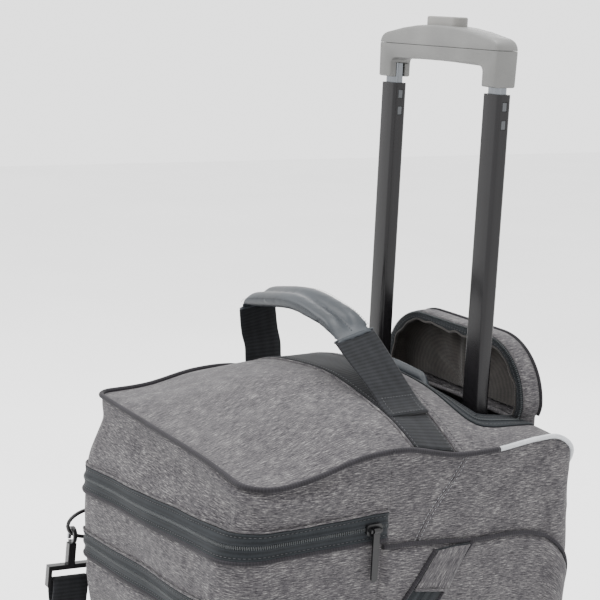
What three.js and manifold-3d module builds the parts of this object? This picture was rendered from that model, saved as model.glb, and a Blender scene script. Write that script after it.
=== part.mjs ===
// Rolling laptop case: an upright soft bag with a telescopic tow handle, two wheels and a shoulder strap.
// Millimetres, +Z up, the front towards -Y, standing on Z = 0, with the origin under the middle of the
// outer box.
import * as THREE from "three";
import { mergeVertices } from "three/addons/utils/BufferGeometryUtils.js";
import Module from "manifold-3d";

const wasm = await Module();
wasm.setup();

// ---- Driving dimensions ----
const GAP = 0.3; // between pieces that touch
const BIG = 900; // longer than any piece, for cutting tools

// Bag body
const WIDTH = 308;
const DEPTH = 352;
const MIDDLE_Y = 20; // the body's middle, set back because the shoulder strap hangs in front
const UNDERSIDE_Z = 34;
const EDGE_Z = 516; // top edge at the front corners
const WALL = 5;
const REAR_ROUND = 36; // radius of the rounded top back edge
const CROWN = 48; // how far the middle of the top stands above its edges
const FRONT = MIDDLE_Y - DEPTH / 2;
const BACK = MIDDLE_Y + DEPTH / 2;

// Lid and zips
const ZIP_DROP = 65; // main zip below the top edge, at the middle
const ZIP_TILT = 0.09; // the zips run out of level, because the bag slumps to its left
const ZIP_BAND = 22; // width of a closed zip with its two tapes
const TAPE = 1.2;
const LID_HINGE_Y = MIDDLE_Y - 41;
const LID_SPLIT = 1; // between the lid's edge and the body's
const POCKET_ZIP_DROP = 131;
const PAD = 4; // thickness of the outside pockets
const PIPING_R = 2;
const PIPING_OUT = 2.8; // the piping stands off the top edge, outwards and upwards

// Tow handle
const TROLLEY_Y = BACK - 66;
const TUBE_SPACING = 160;
const MIDDLE_TUBE = { width: 23.8, depth: 15.3, wall: 1.2, length: 373 };
const TUBE_PLAY = 0.35;
const OUTER_WALL = 1.4;
const OUTER_FOOT_Z = 58;
const BUSH = { wall: 0.8, height: 34 };
const INNER_TUBE = { wall: 1, length: 367 };
const TUBE_TOP_Z = EDGE_Z + 312.5;
const INNER_REVEAL = 6; // inner tube showing below the grip
const GRIP = { width: 183, depth: 26, leg: 21, legHeight: 18.5, height: 56, shoulder: 43, split: 33 };
const BUTTON = { length: 50, width: 18, proud: 5 };
const ROD_R = 2;
const WELL = { side: 108, ahead: 31, behind: 35, drop: 22, wall: 2 };

// Trolley cover, carry handle, shoulder strap
const COVER = { middle: 6, halfWidth: 110, height: 66, round: 60, depth: 23, wall: 3, behind: 52 };
const WEBBING = { width: 44, thickness: 2 };
const HANDLE_Y = MIDDLE_Y + 8;
const ROLL = 14; // thickness of the carry handle's padded grip
const HANDLE_LEAN = 13; // degrees forwards, at rest
const HANDLE_FOOT_Z = EDGE_Z + 40; // height that the handle leans and swings about
const STRAP = { width: 38, thickness: 3, sag: 248.2, belowBar: 9.8, lean: 4 };
const RING = { wire: 2, height: 30, reach: 28, out: 10, eyeAhead: 23, z: EDGE_Z - 138 };
const TAB_WIDTH = 24;

// Running gear and inside
const WHEEL = { radius: 38, width: 24, hub: 26, x: 122, setIn: 16 };
const AXLE_R = 4;
const HOUSING = {
  outer: 151,
  depth: WHEEL.setIn + WHEEL.radius + 14,
  height: 2 * WHEEL.radius + 10,
  clear: 4,
};
const BOARD = 3;
const SLEEVE = { width: 270, height: 357, pad: 8, hollow: 20.5, floor: 10 };

// ---- Shape tools ----
function solid(geometry) {
  const bare = geometry.clone();
  bare.deleteAttribute("normal");
  bare.deleteAttribute("uv");
  const merged = mergeVertices(bare, 1e-4);
  return new wasm.Manifold(
    new wasm.Mesh({
      numProp: 3,
      vertProperties: Float32Array.from(merged.attributes.position.array),
      triVerts: Uint32Array.from(merged.index.array),
    }),
  );
}

function box(x0, x1, y0, y1, z0, z1) {
  const shape = new THREE.BoxGeometry(x1 - x0, y1 - y0, z1 - z0);
  return solid(shape.translate((x0 + x1) / 2, (y0 + y1) / 2, (z0 + z1) / 2));
}

const axes = {
  x: new THREE.Vector3(1, 0, 0),
  y: new THREE.Vector3(0, 1, 0),
  z: new THREE.Vector3(0, 0, 1),
};

// A flat outline pushed through from one coordinate to another along X, Y or Z.
function prism(outline, axis, from, to, bevel = 0, arcSteps = 3) {
  const geometry = new THREE.ExtrudeGeometry(outline, {
    depth: to - from - 2 * bevel,
    bevelEnabled: bevel > 0,
    bevelThickness: bevel,
    bevelSize: bevel,
    bevelOffset: -bevel,
    bevelSegments: 2,
    curveSegments: arcSteps,
  });
  geometry.translate(0, 0, from + bevel);
  const basis = new THREE.Matrix4();
  if (axis === "x") basis.makeBasis(axes.y, axes.z, axes.x);
  if (axis === "y") basis.makeBasis(axes.x, axes.z, axes.y);
  geometry.applyMatrix4(basis);
  if (basis.determinant() < 0) flip(geometry);
  return solid(geometry);
}

function flip(geometry) {
  const points = geometry.attributes.position;
  const spare = new THREE.Vector3();
  const other = new THREE.Vector3();
  for (let i = 0; i < points.count; i += 3) {
    spare.fromBufferAttribute(points, i + 1);
    other.fromBufferAttribute(points, i + 2);
    points.setXYZ(i + 1, other.x, other.y, other.z);
    points.setXYZ(i + 2, spare.x, spare.y, spare.z);
  }
}

function roundedRect(u0, u1, v0, v1, r) {
  const s = new THREE.Shape();
  s.moveTo(u0 + r, v0);
  s.lineTo(u1 - r, v0);
  s.absarc(u1 - r, v0 + r, r, -Math.PI / 2, 0);
  s.lineTo(u1, v1 - r);
  s.absarc(u1 - r, v1 - r, r, 0, Math.PI / 2);
  s.lineTo(u0 + r, v1);
  s.absarc(u0 + r, v1 - r, r, Math.PI / 2, Math.PI);
  s.lineTo(u0, v0 + r);
  s.absarc(u0 + r, v0 + r, r, Math.PI, 1.5 * Math.PI);
  return s;
}

function cylinderX(x0, x1, y, z, r, sides = 32) {
  const c = new THREE.CylinderGeometry(r, r, x1 - x0, sides);
  return solid(c.rotateZ(Math.PI / 2).translate((x0 + x1) / 2, y, z));
}

// A strip of even thickness whose middle line is a list of [across, up], seen from the front.
function ribbon(line, thickness, y0, y1) {
  const path = line.map(([u, v]) => new THREE.Vector2(u, v));
  const sides = [[], []];
  path.forEach((p, i) => {
    const ahead = path[Math.min(i + 1, path.length - 1)];
    const before = path[Math.max(i - 1, 0)];
    const along = ahead.clone().sub(before).normalize();
    const normal = new THREE.Vector2(-along.y, along.x).multiplyScalar(thickness / 2);
    sides[0].push(p.clone().add(normal));
    sides[1].unshift(p.clone().sub(normal));
  });
  return prism(new THREE.Shape([...sides[0], ...sides[1]]), "y", y0, y1);
}

function smoothLine(points, count) {
  const curve = new THREE.SplineCurve(points.map(([u, v]) => new THREE.Vector2(u, v)));
  return curve.getSpacedPoints(count).map((p) => [p.x, p.y]);
}

function roundCord(points, r, steps, sides = 8) {
  const curve = new THREE.CatmullRomCurve3(points, false, "centripetal");
  const corners = [];
  for (let i = 0; i < sides; i++) {
    const a = (i / sides) * 2 * Math.PI;
    corners.push(new THREE.Vector2(r * Math.cos(a), r * Math.sin(a)));
  }
  return solid(new THREE.ExtrudeGeometry(new THREE.Shape(corners), { steps, extrudePath: curve }));
}

// ---- The bag's outer shape ----
// Height of a curve given by [position, height] knots.
function heightAt(knots, at) {
  for (let i = 1; i < knots.length; i++) {
    const [a, low] = knots[i - 1];
    const [b, high] = knots[i];
    if (at <= b) return low + ((high - low) * Math.max(0, at - a)) / (b - a);
  }
  return knots[knots.length - 1][1];
}

// Knots run from the front (0) to the back (1).
const EDGE_RISE = [[0, 0], [0.15, 2], [0.31, 12], [0.41, 13], [0.6, 0], [0.71, -1], [0.85, 3], [1, 3]];
const CROWN_SHARE = [
  [0, 0], [0.16, 0.33], [0.33, 0.52], [0.47, 0.72], [0.62, 1],
  [0.68, 0.86], [0.76, 0.52], [0.84, 0.25], [1, 0],
];

function edgeZ(y) {
  const fromBack = Math.max(0, Math.min(REAR_ROUND, BACK - y));
  const drop = REAR_ROUND - Math.sqrt(REAR_ROUND ** 2 - (REAR_ROUND - fromBack) ** 2);
  return EDGE_Z + heightAt(EDGE_RISE, (y - FRONT) / DEPTH) - drop;
}

function topZ(x, y) {
  const across = Math.min(1, Math.abs(x) / (WIDTH / 2));
  return edgeZ(y) + CROWN * heightAt(CROWN_SHARE, (y - FRONT) / DEPTH) * (1 - across ** 2.2);
}

// Rings of the wall from the underside (0) up to the top edge (1).
const LEVELS = [
  { up: 0, inset: 9, radius: 36, belly: 0, swell: 0 },
  { up: 0.02, inset: 0, radius: 44, belly: 0, swell: 0 },
  { up: 0.3, inset: 0, radius: 44, belly: 0, swell: 2 },
  { up: 0.47, inset: 0, radius: 42, belly: 6, swell: 3 },
  { up: 0.66, inset: 0, radius: 38, belly: 20, swell: 4 },
  { up: 0.82, inset: 0, radius: 36, belly: 22, swell: 4 },
  { up: 0.89, inset: 0, radius: 32, belly: 17, swell: 3 },
  { up: 0.945, inset: 0, radius: 20, belly: 4, swell: 1 },
  { up: 1, inset: 0, radius: 14, belly: 0, swell: 0 },
];
const CORNER_STEPS = 5;
const SIDE_STEPS = 10;
const END_STEPS = 5;
const TOP_RINGS = [0.955, 0.88, 0.76, 0.6, 0.42, 0.22];

// One ring of the wall, anticlockwise from above, as [x, y] pairs.
function planRing(level, grow) {
  const half = WIDTH / 2 + level.swell - level.inset + grow;
  const y0 = FRONT - level.belly + level.inset - grow;
  const y1 = BACK + level.swell - level.inset + grow;
  const r = Math.max(3, level.radius + grow);
  const ring = [];
  const corners = [
    [half - r, y0 + r, -Math.PI / 2, SIDE_STEPS],
    [half - r, y1 - r, 0, END_STEPS],
    [r - half, y1 - r, Math.PI / 2, SIDE_STEPS],
    [r - half, y0 + r, Math.PI, END_STEPS],
  ];
  corners.forEach(([cx, cy, start, straightSteps], k) => {
    for (let i = 0; i <= CORNER_STEPS; i++) {
      const a = start + (i / CORNER_STEPS) * (Math.PI / 2);
      ring.push([cx + r * Math.cos(a), cy + r * Math.sin(a)]);
    }
    const [nx, ny, nextStart] = corners[(k + 1) % 4];
    const [fromX, fromY] = ring[ring.length - 1];
    const toX = nx + r * Math.cos(nextStart);
    const toY = ny + r * Math.sin(nextStart);
    for (let i = 1; i < straightSteps; i++) {
      const s = i / straightSteps;
      ring.push([fromX + (toX - fromX) * s, fromY + (toY - fromY) * s]);
    }
  });
  return ring;
}

// The closed outer shape of the bag, grown outwards by a distance (or shrunk, when it is below 0).
function bagShape(grow) {
  const rings = LEVELS.map((level) => {
    const low = UNDERSIDE_Z - grow;
    return planRing(level, grow).map(([x, y]) => [x, y, low + level.up * (edgeZ(y) + grow - low)]);
  });
  const rim = rings[rings.length - 1];
  for (const s of TOP_RINGS) {
    rings.push(rim.map(([x, y]) => {
      const nx = x * s;
      const ny = MIDDLE_Y + (y - MIDDLE_Y) * s;
      return [nx, ny, topZ(nx, ny) + grow];
    }));
  }
  const count = rim.length;
  const points = rings.flat();
  const bottom = points.push([0, MIDDLE_Y, UNDERSIDE_Z - grow]) - 1;
  const crest = points.push([0, MIDDLE_Y, topZ(0, MIDDLE_Y) + grow]) - 1;
  const faces = [];
  for (let i = 0; i < count; i++) {
    const j = (i + 1) % count;
    faces.push(bottom, j, i);
    for (let k = 0; k + 1 < rings.length; k++) {
      const a = k * count;
      const b = a + count;
      faces.push(a + i, a + j, b + j, a + i, b + j, b + i);
    }
    const last = (rings.length - 1) * count;
    faces.push(crest, last + i, last + j);
  }
  const geometry = new THREE.BufferGeometry();
  geometry.setAttribute("position", new THREE.Float32BufferAttribute(points.flat(), 3));
  geometry.setIndex(faces);
  return solid(geometry);
}

// Everything between two distances outside the bag's surface.
const skin = (from, to) => bagShape(to).subtract(bagShape(from));

// Everything whose height over the tilted zip line lies between low and high.
function zipSlab(drop, low, high) {
  const slab = new THREE.BoxGeometry(BIG, BIG, high - low);
  slab.translate(0, 0, (low + high) / 2);
  slab.rotateY(-Math.atan(ZIP_TILT));
  return solid(slab.translate(0, 0, EDGE_Z - drop));
}

const zipZ = (x, drop) => EDGE_Z - drop + ZIP_TILT * x;

// ---- Materials ----
const finish = (color, roughness, metalness = 0) =>
  new THREE.MeshStandardMaterial({ color, roughness, metalness });
const heather = finish(0x7f7d7e, 0.95);
const lining = finish(0x4b4744, 0.95);
const webbingCloth = finish(0x46474a, 0.9);
const pipingCloth = finish(0x3a393b, 0.8);
const zipCloth = finish(0x33383a, 0.85);
const vinyl = finish(0x5a5f64, 0.6);
const gripPlastic = finish(0x4c4e50, 0.55);
const blackTube = finish(0x1c1d1f, 0.3, 0.8);
const brightTube = finish(0xb9bcc0, 0.25, 1);
const blackPlastic = finish(0x26272a, 0.5);
const tyreRubber = finish(0x1b1b1c, 0.9);
const hubPlastic = finish(0x6d7073, 0.5);
const steel = finish(0xa9abad, 0.35, 1);
const boardPlastic = finish(0x8a8780, 0.8);

// ---- Scene graph ----
const root = new THREE.Group();
root.name = "rolling_laptop_case";

function add(name, shape, material, parent = root, mirrored = false) {
  const { vertProperties, triVerts } = shape.getMesh();
  const geometry = new THREE.BufferGeometry();
  geometry.setAttribute("position", new THREE.BufferAttribute(Float32Array.from(vertProperties), 3));
  geometry.setIndex(new THREE.BufferAttribute(Uint32Array.from(triVerts), 1));
  const mesh = new THREE.Mesh(geometry, material);
  mesh.name = name;
  if (mirrored) mesh.scale.x = -1;
  parent.add(mesh);
  return mesh;
}

// The same piece on both sides: made for the right (+X) and mirrored to the left.
function addPair(name, shape, material, parent = root) {
  add(`${name}_right`, shape, material, parent);
  add(`${name}_left`, shape, material, parent, true);
}

// ---- Bag shell and lid ----
const wheelY = BACK - WHEEL.setIn;
const housingFront = BACK - HOUSING.depth;
const outerHalf = MIDDLE_TUBE.width / 2 + TUBE_PLAY + OUTER_WALL;
const housingInner = TUBE_SPACING / 2 + outerHalf + 2.35;
const aheadOfHinge = (clear) => box(-BIG, BIG, -BIG, LID_HINGE_Y + clear, 0, BIG);
const lidZone = (clear) => aheadOfHinge(clear).intersect(zipSlab(ZIP_DROP, -clear, BIG));

function housingBlock(grow) {
  return box(
    housingInner - grow, WIDTH,
    housingFront - grow, BACK + BIG,
    -BIG, HOUSING.height + grow,
  );
}

function mirrorX(shape) {
  const { vertProperties, triVerts } = shape.getMesh();
  const points = Float32Array.from(vertProperties, (v, i) => (i % 3 === 0 ? -v : v));
  const geometry = new THREE.BufferGeometry();
  geometry.setAttribute("position", new THREE.BufferAttribute(points, 3));
  geometry.setIndex(Array.from({ length: triVerts.length }, (_, i) => triVerts[i - (i % 3) + 2 - (i % 3)]));
  return solid(geometry);
}

function bagShell() {
  const wellCut = box(
    -WELL.side, WELL.side,
    TROLLEY_Y - WELL.ahead, TROLLEY_Y + WELL.behind,
    EDGE_Z - WELL.drop - 8, BIG,
  );
  return skin(-WALL, 0)
    .subtract(lidZone(0))
    .subtract(wellCut)
    .subtract(housingBlock(GAP))
    .subtract(mirrorX(housingBlock(GAP)));
}
add("body_shell", bagShell(), heather);
add("lid_shell", skin(-WALL, 0).intersect(lidZone(-LID_SPLIT)), heather);

// ---- Zips ----
const halfBand = ZIP_BAND / 2;
const tapeSkin = skin(GAP, GAP + TAPE);
const zipFront = box(-BIG, BIG, -BIG, LID_HINGE_Y - LID_SPLIT, 0, BIG);
add("zip_tape_body", tapeSkin.intersect(zipFront).intersect(zipSlab(ZIP_DROP, -halfBand, -0.5)), zipCloth);
add("zip_tape_lid", tapeSkin.intersect(zipFront).intersect(zipSlab(ZIP_DROP, 1.5, halfBand)), zipCloth);
const pocketFront = box(-WIDTH * 0.42, WIDTH * 0.42, -BIG, FRONT + 30, 0, BIG);
add(
  "zip_tape_pocket",
  tapeSkin.intersect(pocketFront).intersect(zipSlab(POCKET_ZIP_DROP, -halfBand, halfBand)),
  zipCloth,
);

// Slider and hanging puller, with the slider's middle at the origin and the zip behind it (-X side).
const SLIDER = { length: 16, height: 10, foot: 3, barOut: 5.6, barR: 1.1, pull: 46, pullWidth: 6.4 };
function sliderBody() {
  const { length, height, foot, barOut, barR } = SLIDER;
  let made = prism(roundedRect(-length / 2, length / 2, -height / 2, height / 2, 3), "x", 0, foot);
  for (const side of [-1, 1]) {
    const y = [side * 4.2, side * 6].sort((p, q) => p - q);
    made = made.add(box(foot - 1, barOut + barR, ...y, -1.5, 1.5));
  }
  const bar = new THREE.CylinderGeometry(barR, barR, 10, 10).translate(barOut, 0, 0);
  return made.add(solid(bar));
}
function pullerTab() {
  const { barOut, barR, pull, pullWidth } = SLIDER;
  const half = pullWidth / 2;
  const rim = new THREE.Shape();
  rim.absarc(barOut, 0, barR + 1.3, 0, 2 * Math.PI);
  const hole = new THREE.Shape();
  hole.absarc(barOut, 0, barR + 0.4, 0, 2 * Math.PI);
  const tab = prism(roundedRect(-half, half, -pull, 0, 2.5), "x", barOut - 1, barOut + 1);
  const eye = prism(rim, "y", -half, half, 0, 8);
  return eye.add(tab).subtract(prism(hole, "y", -half - 1, half + 1, 0, 8));
}

const surfaceX = WIDTH / 2 + 3.5;
const sliderHome = new THREE.Vector3(surfaceX + GAP + TAPE + 0.5, LID_HINGE_Y - 19, zipZ(surfaceX, ZIP_DROP));
const mainZip = new THREE.Group();
mainZip.position.copy(sliderHome);
root.add(mainZip);
add("main_slider", sliderBody(), blackPlastic, mainZip);
add("main_puller", pullerTab(), blackPlastic, mainZip);

const pocketHomeX = WIDTH * 0.3;
const pocketBelly = 21.5;
const pocketZip = new THREE.Group();
pocketZip.position.set(
  pocketHomeX,
  FRONT - pocketBelly - GAP - TAPE - 0.5,
  zipZ(pocketHomeX, POCKET_ZIP_DROP),
);
pocketZip.rotation.z = -Math.PI / 2;
root.add(pocketZip);
add("pocket_slider", sliderBody(), blackPlastic, pocketZip);
add("pocket_puller", pullerTab(), blackPlastic, pocketZip);

// ---- Outside pockets ----
const padSkin = skin(GAP, GAP + PAD);
const frontPanel = box(-WIDTH * 0.42, WIDTH * 0.42, -BIG, FRONT + 20, UNDERSIDE_Z + 40, BIG);
add(
  "front_pocket",
  padSkin.intersect(frontPanel).intersect(zipSlab(POCKET_ZIP_DROP, -BIG, -halfBand - GAP)),
  heather,
);

// The side pocket's top edge falls from its front corner and drops round the back edge.
const sidePocketFront = MIDDLE_Y - 49;
function sidePocketOutline() {
  const s = new THREE.Shape();
  s.moveTo(sidePocketFront, HOUSING.height + 8);
  s.lineTo(BACK - 8, HOUSING.height + 8);
  s.lineTo(BACK - 8, EDGE_Z - 128);
  s.quadraticCurveTo(BACK - 22, EDGE_Z - 90, BACK - 52, EDGE_Z - 86);
  s.lineTo(sidePocketFront, EDGE_Z - 70);
  return s;
}
const sidePocket = padSkin.intersect(prism(sidePocketOutline(), "x", WIDTH / 2 - 30, WIDTH));
const belowZip = zipSlab(ZIP_DROP, -BIG, -halfBand - 1);
add("side_pocket_right", sidePocket.intersect(belowZip), heather);
add("side_pocket_left", mirrorX(sidePocket).intersect(belowZip), heather);

// ---- Piping round the top edge ----
function pipingPath(keep) {
  const rim = planRing(LEVELS[LEVELS.length - 1], PIPING_OUT).map(
    ([x, y]) => new THREE.Vector3(x, y, edgeZ(y) + PIPING_OUT),
  );
  return rim.filter(keep);
}
function rollTo(points, first) {
  const at = points.findIndex(first);
  return [...points.slice(at), ...points.slice(0, at)];
}
function lidPiping() {
  const end = LID_HINGE_Y - 3;
  const inFront = pipingPath((p) => p.y < end - 8);
  const path = rollTo(inFront, (p) => p.x < 0 && p.y > end - 45);
  const first = new THREE.Vector3(-WIDTH / 2 - PIPING_OUT, end, edgeZ(end) + PIPING_OUT);
  const last = new THREE.Vector3(WIDTH / 2 + PIPING_OUT, end, edgeZ(end) + PIPING_OUT);
  return roundCord([first, ...path, last], PIPING_R, 50, 6);
}
function bodyPiping() {
  const end = LID_HINGE_Y + 3;
  const behind = pipingPath((p) => p.y > end + 8);
  const path = rollTo(behind, (p) => p.x > 0 && p.y < end + 45);
  const first = new THREE.Vector3(WIDTH / 2 + PIPING_OUT, end, edgeZ(end) + PIPING_OUT);
  const last = new THREE.Vector3(-WIDTH / 2 - PIPING_OUT, end, edgeZ(end) + PIPING_OUT);
  return roundCord([first, ...path, last], PIPING_R, 56, 6);
}
add("piping_lid", lidPiping(), pipingCloth);
add("piping_body", bodyPiping(), pipingCloth);

// ---- Carry handle ----
const webY0 = HANDLE_Y - WEBBING.width / 2;
const webY1 = HANDLE_Y + WEBBING.width / 2;
const webbingZone = box(-WIDTH / 2 + 3, WIDTH / 2 - 3, webY0, webY1, EDGE_Z - 5, BIG);
add("top_webbing", skin(GAP, GAP + WEBBING.thickness).intersect(webbingZone), webbingCloth);

const clearOfTop = WEBBING.thickness + 2 * GAP;
const postX = -0.475 * WIDTH;
const landX = 0.28 * WIDTH;
const strapRise = 11; // the loose straps start this far above the top, where the sewn-down ends stop
const carryHandle = new THREE.Group();
carryHandle.position.set(0, HANDLE_Y, HANDLE_FOOT_Z);
carryHandle.rotation.x = THREE.MathUtils.degToRad(HANDLE_LEAN);
root.add(carryHandle);
// Heights of the handle's pieces are measured from HANDLE_FOOT_Z, along its lean.
const gripLine = smoothLine(
  [[postX + 1, 37], [postX + 8, 48], [postX + 42, 57], [-47, 66], [0, 60], [22, 53], [38, 44]],
  18,
);
function strapFoot(x) {
  return Math.max(topZ(x, webY0), topZ(x, webY1)) + clearOfTop + strapRise - HANDLE_FOOT_Z;
}
const webHalf = WEBBING.width / 2;
const rightStrap = [[38.8, 43.3], [60, 25], [landX, strapFoot(landX - 6)]];
const leftStrap = [[postX - 1, strapFoot(postX + 4)], [postX - 3, 8], [postX - 2, 20], [postX + 0.5, 36]];
add("handle_grip", ribbon(gripLine, ROLL, -webHalf, webHalf), vinyl, carryHandle);
add("handle_strap_left", ribbon(leftStrap, 3, -webHalf, webHalf), webbingCloth, carryHandle);
add("handle_strap_right", ribbon(rightStrap, 3, -webHalf, webHalf), webbingCloth, carryHandle);

// ---- Trolley cover, standing open behind the tubes ----
const coverY = TROLLEY_Y + COVER.behind;
const coverFootZ = Math.max(topZ(COVER.middle, coverY - COVER.depth), topZ(COVER.middle, coverY)) + 3;
function coverOutline(inset, drop) {
  const u0 = COVER.middle - COVER.halfWidth + inset;
  const u1 = COVER.middle + COVER.halfWidth - inset;
  const top = coverFootZ + COVER.height - inset;
  const r = COVER.round - inset;
  const s = new THREE.Shape();
  s.moveTo(u0 + 10, coverFootZ - drop);
  s.lineTo(u1 - 10, coverFootZ - drop);
  s.lineTo(u1, top - r);
  s.absarc(u1 - r, top - r, r, 0, Math.PI / 2);
  s.lineTo(u0 + r, top);
  s.absarc(u0 + r, top - r, r, Math.PI / 2, Math.PI);
  return s;
}
function trolleyCover() {
  const hood = prism(coverOutline(0, 0), "y", coverY - COVER.depth, coverY, 0, 8);
  const hollow = prism(coverOutline(COVER.wall, 10), "y", coverY - BIG, coverY - COVER.wall, 0, 8);
  return hood.subtract(hollow);
}
add("trolley_cover", trolleyCover(), heather);
function coverTape() {
  const y1 = coverY - COVER.depth - GAP;
  const rim = prism(coverOutline(0, 0), "y", y1 - TAPE, y1, 0, 8);
  return rim.subtract(prism(coverOutline(halfBand, 10), "y", y1 - BIG, y1 + 1, 0, 8));
}
add("zip_tape_cover", coverTape(), zipCloth);

// ---- Tow handle ----
function tube(width, depth, wall, z0, z1) {
  const outside = prism(roundedRect(-width / 2, width / 2, -depth / 2, depth / 2, 3.5), "z", z0, z1);
  const w = width / 2 - wall;
  const d = depth / 2 - wall;
  const corner = Math.max(0.5, 3.5 - wall);
  return outside.subtract(prism(roundedRect(-w, w, -d, d, corner), "z", z0 - 1, z1 + 1));
}
const bushOuter = {
  width: MIDDLE_TUBE.width - 2 * MIDDLE_TUBE.wall - 2 * GAP,
  depth: MIDDLE_TUBE.depth - 2 * MIDDLE_TUBE.wall - 2 * GAP,
};
const innerSize = {
  width: bushOuter.width - 2 * BUSH.wall - 2 * GAP,
  depth: bushOuter.depth - 2 * BUSH.wall - 2 * GAP,
};
const outerSize = {
  width: 2 * outerHalf,
  depth: MIDDLE_TUBE.depth + 2 * TUBE_PLAY + 2 * OUTER_WALL,
};
const wellFloorZ = EDGE_Z - WELL.drop;
const outerTopZ = wellFloorZ + 6;
const gripFootZ = TUBE_TOP_Z + INNER_REVEAL;
const socketTopZ = gripFootZ + 15;
const windowTops = [11, 27.5];

function middleTube() {
  const { width, depth, wall, length } = MIDDLE_TUBE;
  let made = tube(width, depth, wall, TUBE_TOP_Z - length, TUBE_TOP_Z);
  for (const drop of windowTops) {
    made = made.subtract(box(-BIG, BIG, -2.8, 2.8, TUBE_TOP_Z - drop - 4.3, TUBE_TOP_Z - drop + 4.3));
  }
  return made;
}
function tubeBush() {
  const reach = MIDDLE_TUBE.width / 2;
  let made = tube(bushOuter.width, bushOuter.depth, BUSH.wall, TUBE_TOP_Z - BUSH.height, TUBE_TOP_Z - 0.5);
  for (const drop of windowTops) {
    for (const side of [-1, 1]) {
      const inside = side * (bushOuter.width / 2 - BUSH.wall / 2);
      const outside = side * reach;
      const span = [Math.min(inside, outside), Math.max(inside, outside)];
      made = made.add(box(...span, -2.4, 2.4, TUBE_TOP_Z - drop - 3.9, TUBE_TOP_Z - drop + 3.9));
    }
  }
  return made;
}
const innerTube = tube(
  innerSize.width, innerSize.depth, INNER_TUBE.wall,
  socketTopZ - INNER_TUBE.length, socketTopZ - GAP,
);
const outerTube = tube(outerSize.width, outerSize.depth, OUTER_WALL, OUTER_FOOT_Z, outerTopZ);
const rodFootZ = socketTopZ - INNER_TUBE.length + 8;
const yokeZ = gripFootZ + 27;
const yokeHalf = TUBE_SPACING / 2 + 4;
const rod = solid(
  new THREE.CylinderGeometry(ROD_R, ROD_R, yokeZ - GAP - rodFootZ, 12)
    .rotateX(Math.PI / 2)
    .translate(0, 0, (yokeZ - GAP + rodFootZ) / 2),
);
for (const [side, x] of [["right", TUBE_SPACING / 2], ["left", -TUBE_SPACING / 2]]) {
  const column = new THREE.Group();
  column.position.set(x, TROLLEY_Y, 0);
  root.add(column);
  add(`outer_tube_${side}`, outerTube, blackTube, column);
  add(`middle_tube_${side}`, middleTube(), blackTube, column);
  add(`tube_bush_${side}`, tubeBush(), blackPlastic, column);
  add(`inner_tube_${side}`, innerTube, brightTube, column);
  add(`push_rod_${side}`, rod, steel, column);
}

// Grip: two shells that meet at a level parting line, hollow for the release bar.
function gripOutline() {
  const half = GRIP.width / 2;
  const legInside = half - GRIP.leg;
  const z = gripFootZ;
  const s = new THREE.Shape();
  s.moveTo(-half + 1, z);
  s.lineTo(-legInside, z);
  s.lineTo(-legInside, z + GRIP.legHeight - 6);
  s.quadraticCurveTo(-legInside, z + GRIP.legHeight, -legInside + 8, z + GRIP.legHeight);
  s.quadraticCurveTo(0, z + GRIP.legHeight + 2.5, legInside - 8, z + GRIP.legHeight);
  s.quadraticCurveTo(legInside, z + GRIP.legHeight, legInside, z + GRIP.legHeight - 6);
  s.lineTo(legInside, z);
  s.lineTo(half - 1, z);
  s.lineTo(half, z + GRIP.shoulder - 12);
  s.quadraticCurveTo(half, z + GRIP.shoulder, half - 14, z + GRIP.shoulder + 1.5);
  s.quadraticCurveTo(0, z + GRIP.height + 6, -half + 14, z + GRIP.shoulder + 1.5);
  s.quadraticCurveTo(-half, z + GRIP.shoulder, -half, z + GRIP.shoulder - 12);
  return s;
}
function buttonOutline(grow) {
  const u = BUTTON.length / 2 + grow;
  const v = BUTTON.width / 2 + grow;
  return roundedRect(-u, u, -v, v, 8);
}
function gripSolid() {
  const whole = prism(gripOutline(), "y", -GRIP.depth / 2, GRIP.depth / 2, 3, 7);
  const barRoom = box(-yokeHalf - 2, yokeHalf + 2, -10, 10, gripFootZ + 22.5, gripFootZ + 36);
  const buttonRoom = box(-60, 60, -10, 10, gripFootZ + 30, gripFootZ + 45);
  const buttonHole = prism(
    buttonOutline(0.4),
    "z", gripFootZ + 40, gripFootZ + 90,
  );
  let made = whole.subtract(barRoom).subtract(buttonRoom).subtract(buttonHole);
  for (const x of [-TUBE_SPACING / 2, TUBE_SPACING / 2]) {
    const w = innerSize.width / 2 + GAP;
    const d = innerSize.depth / 2 + GAP;
    made = made
      .subtract(box(x - w, x + w, -d, d, gripFootZ - 1, socketTopZ))
      .subtract(box(x - 3, x + 3, -3, 3, gripFootZ, gripFootZ + 30));
  }
  return made;
}
const grip = new THREE.Group();
grip.position.y = TROLLEY_Y;
root.add(grip);
const partingZ = gripFootZ + GRIP.split;
const gripBody = gripSolid();
add("grip_lower", gripBody.intersect(box(-BIG, BIG, -BIG, BIG, 0, partingZ)), gripPlastic, grip);
add("grip_upper", gripBody.intersect(box(-BIG, BIG, -BIG, BIG, partingZ + GAP, 2 * BIG)), gripPlastic, grip);
add("release_yoke", box(-yokeHalf, yokeHalf, -5, 5, yokeZ, yokeZ + 4), steel, grip);
const buttonTopZ = gripFootZ + GRIP.height + BUTTON.proud;
add("release_button", prism(buttonOutline(0), "z", yokeZ + 4 + GAP, buttonTopZ, 1.5), gripPlastic, grip);

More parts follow.
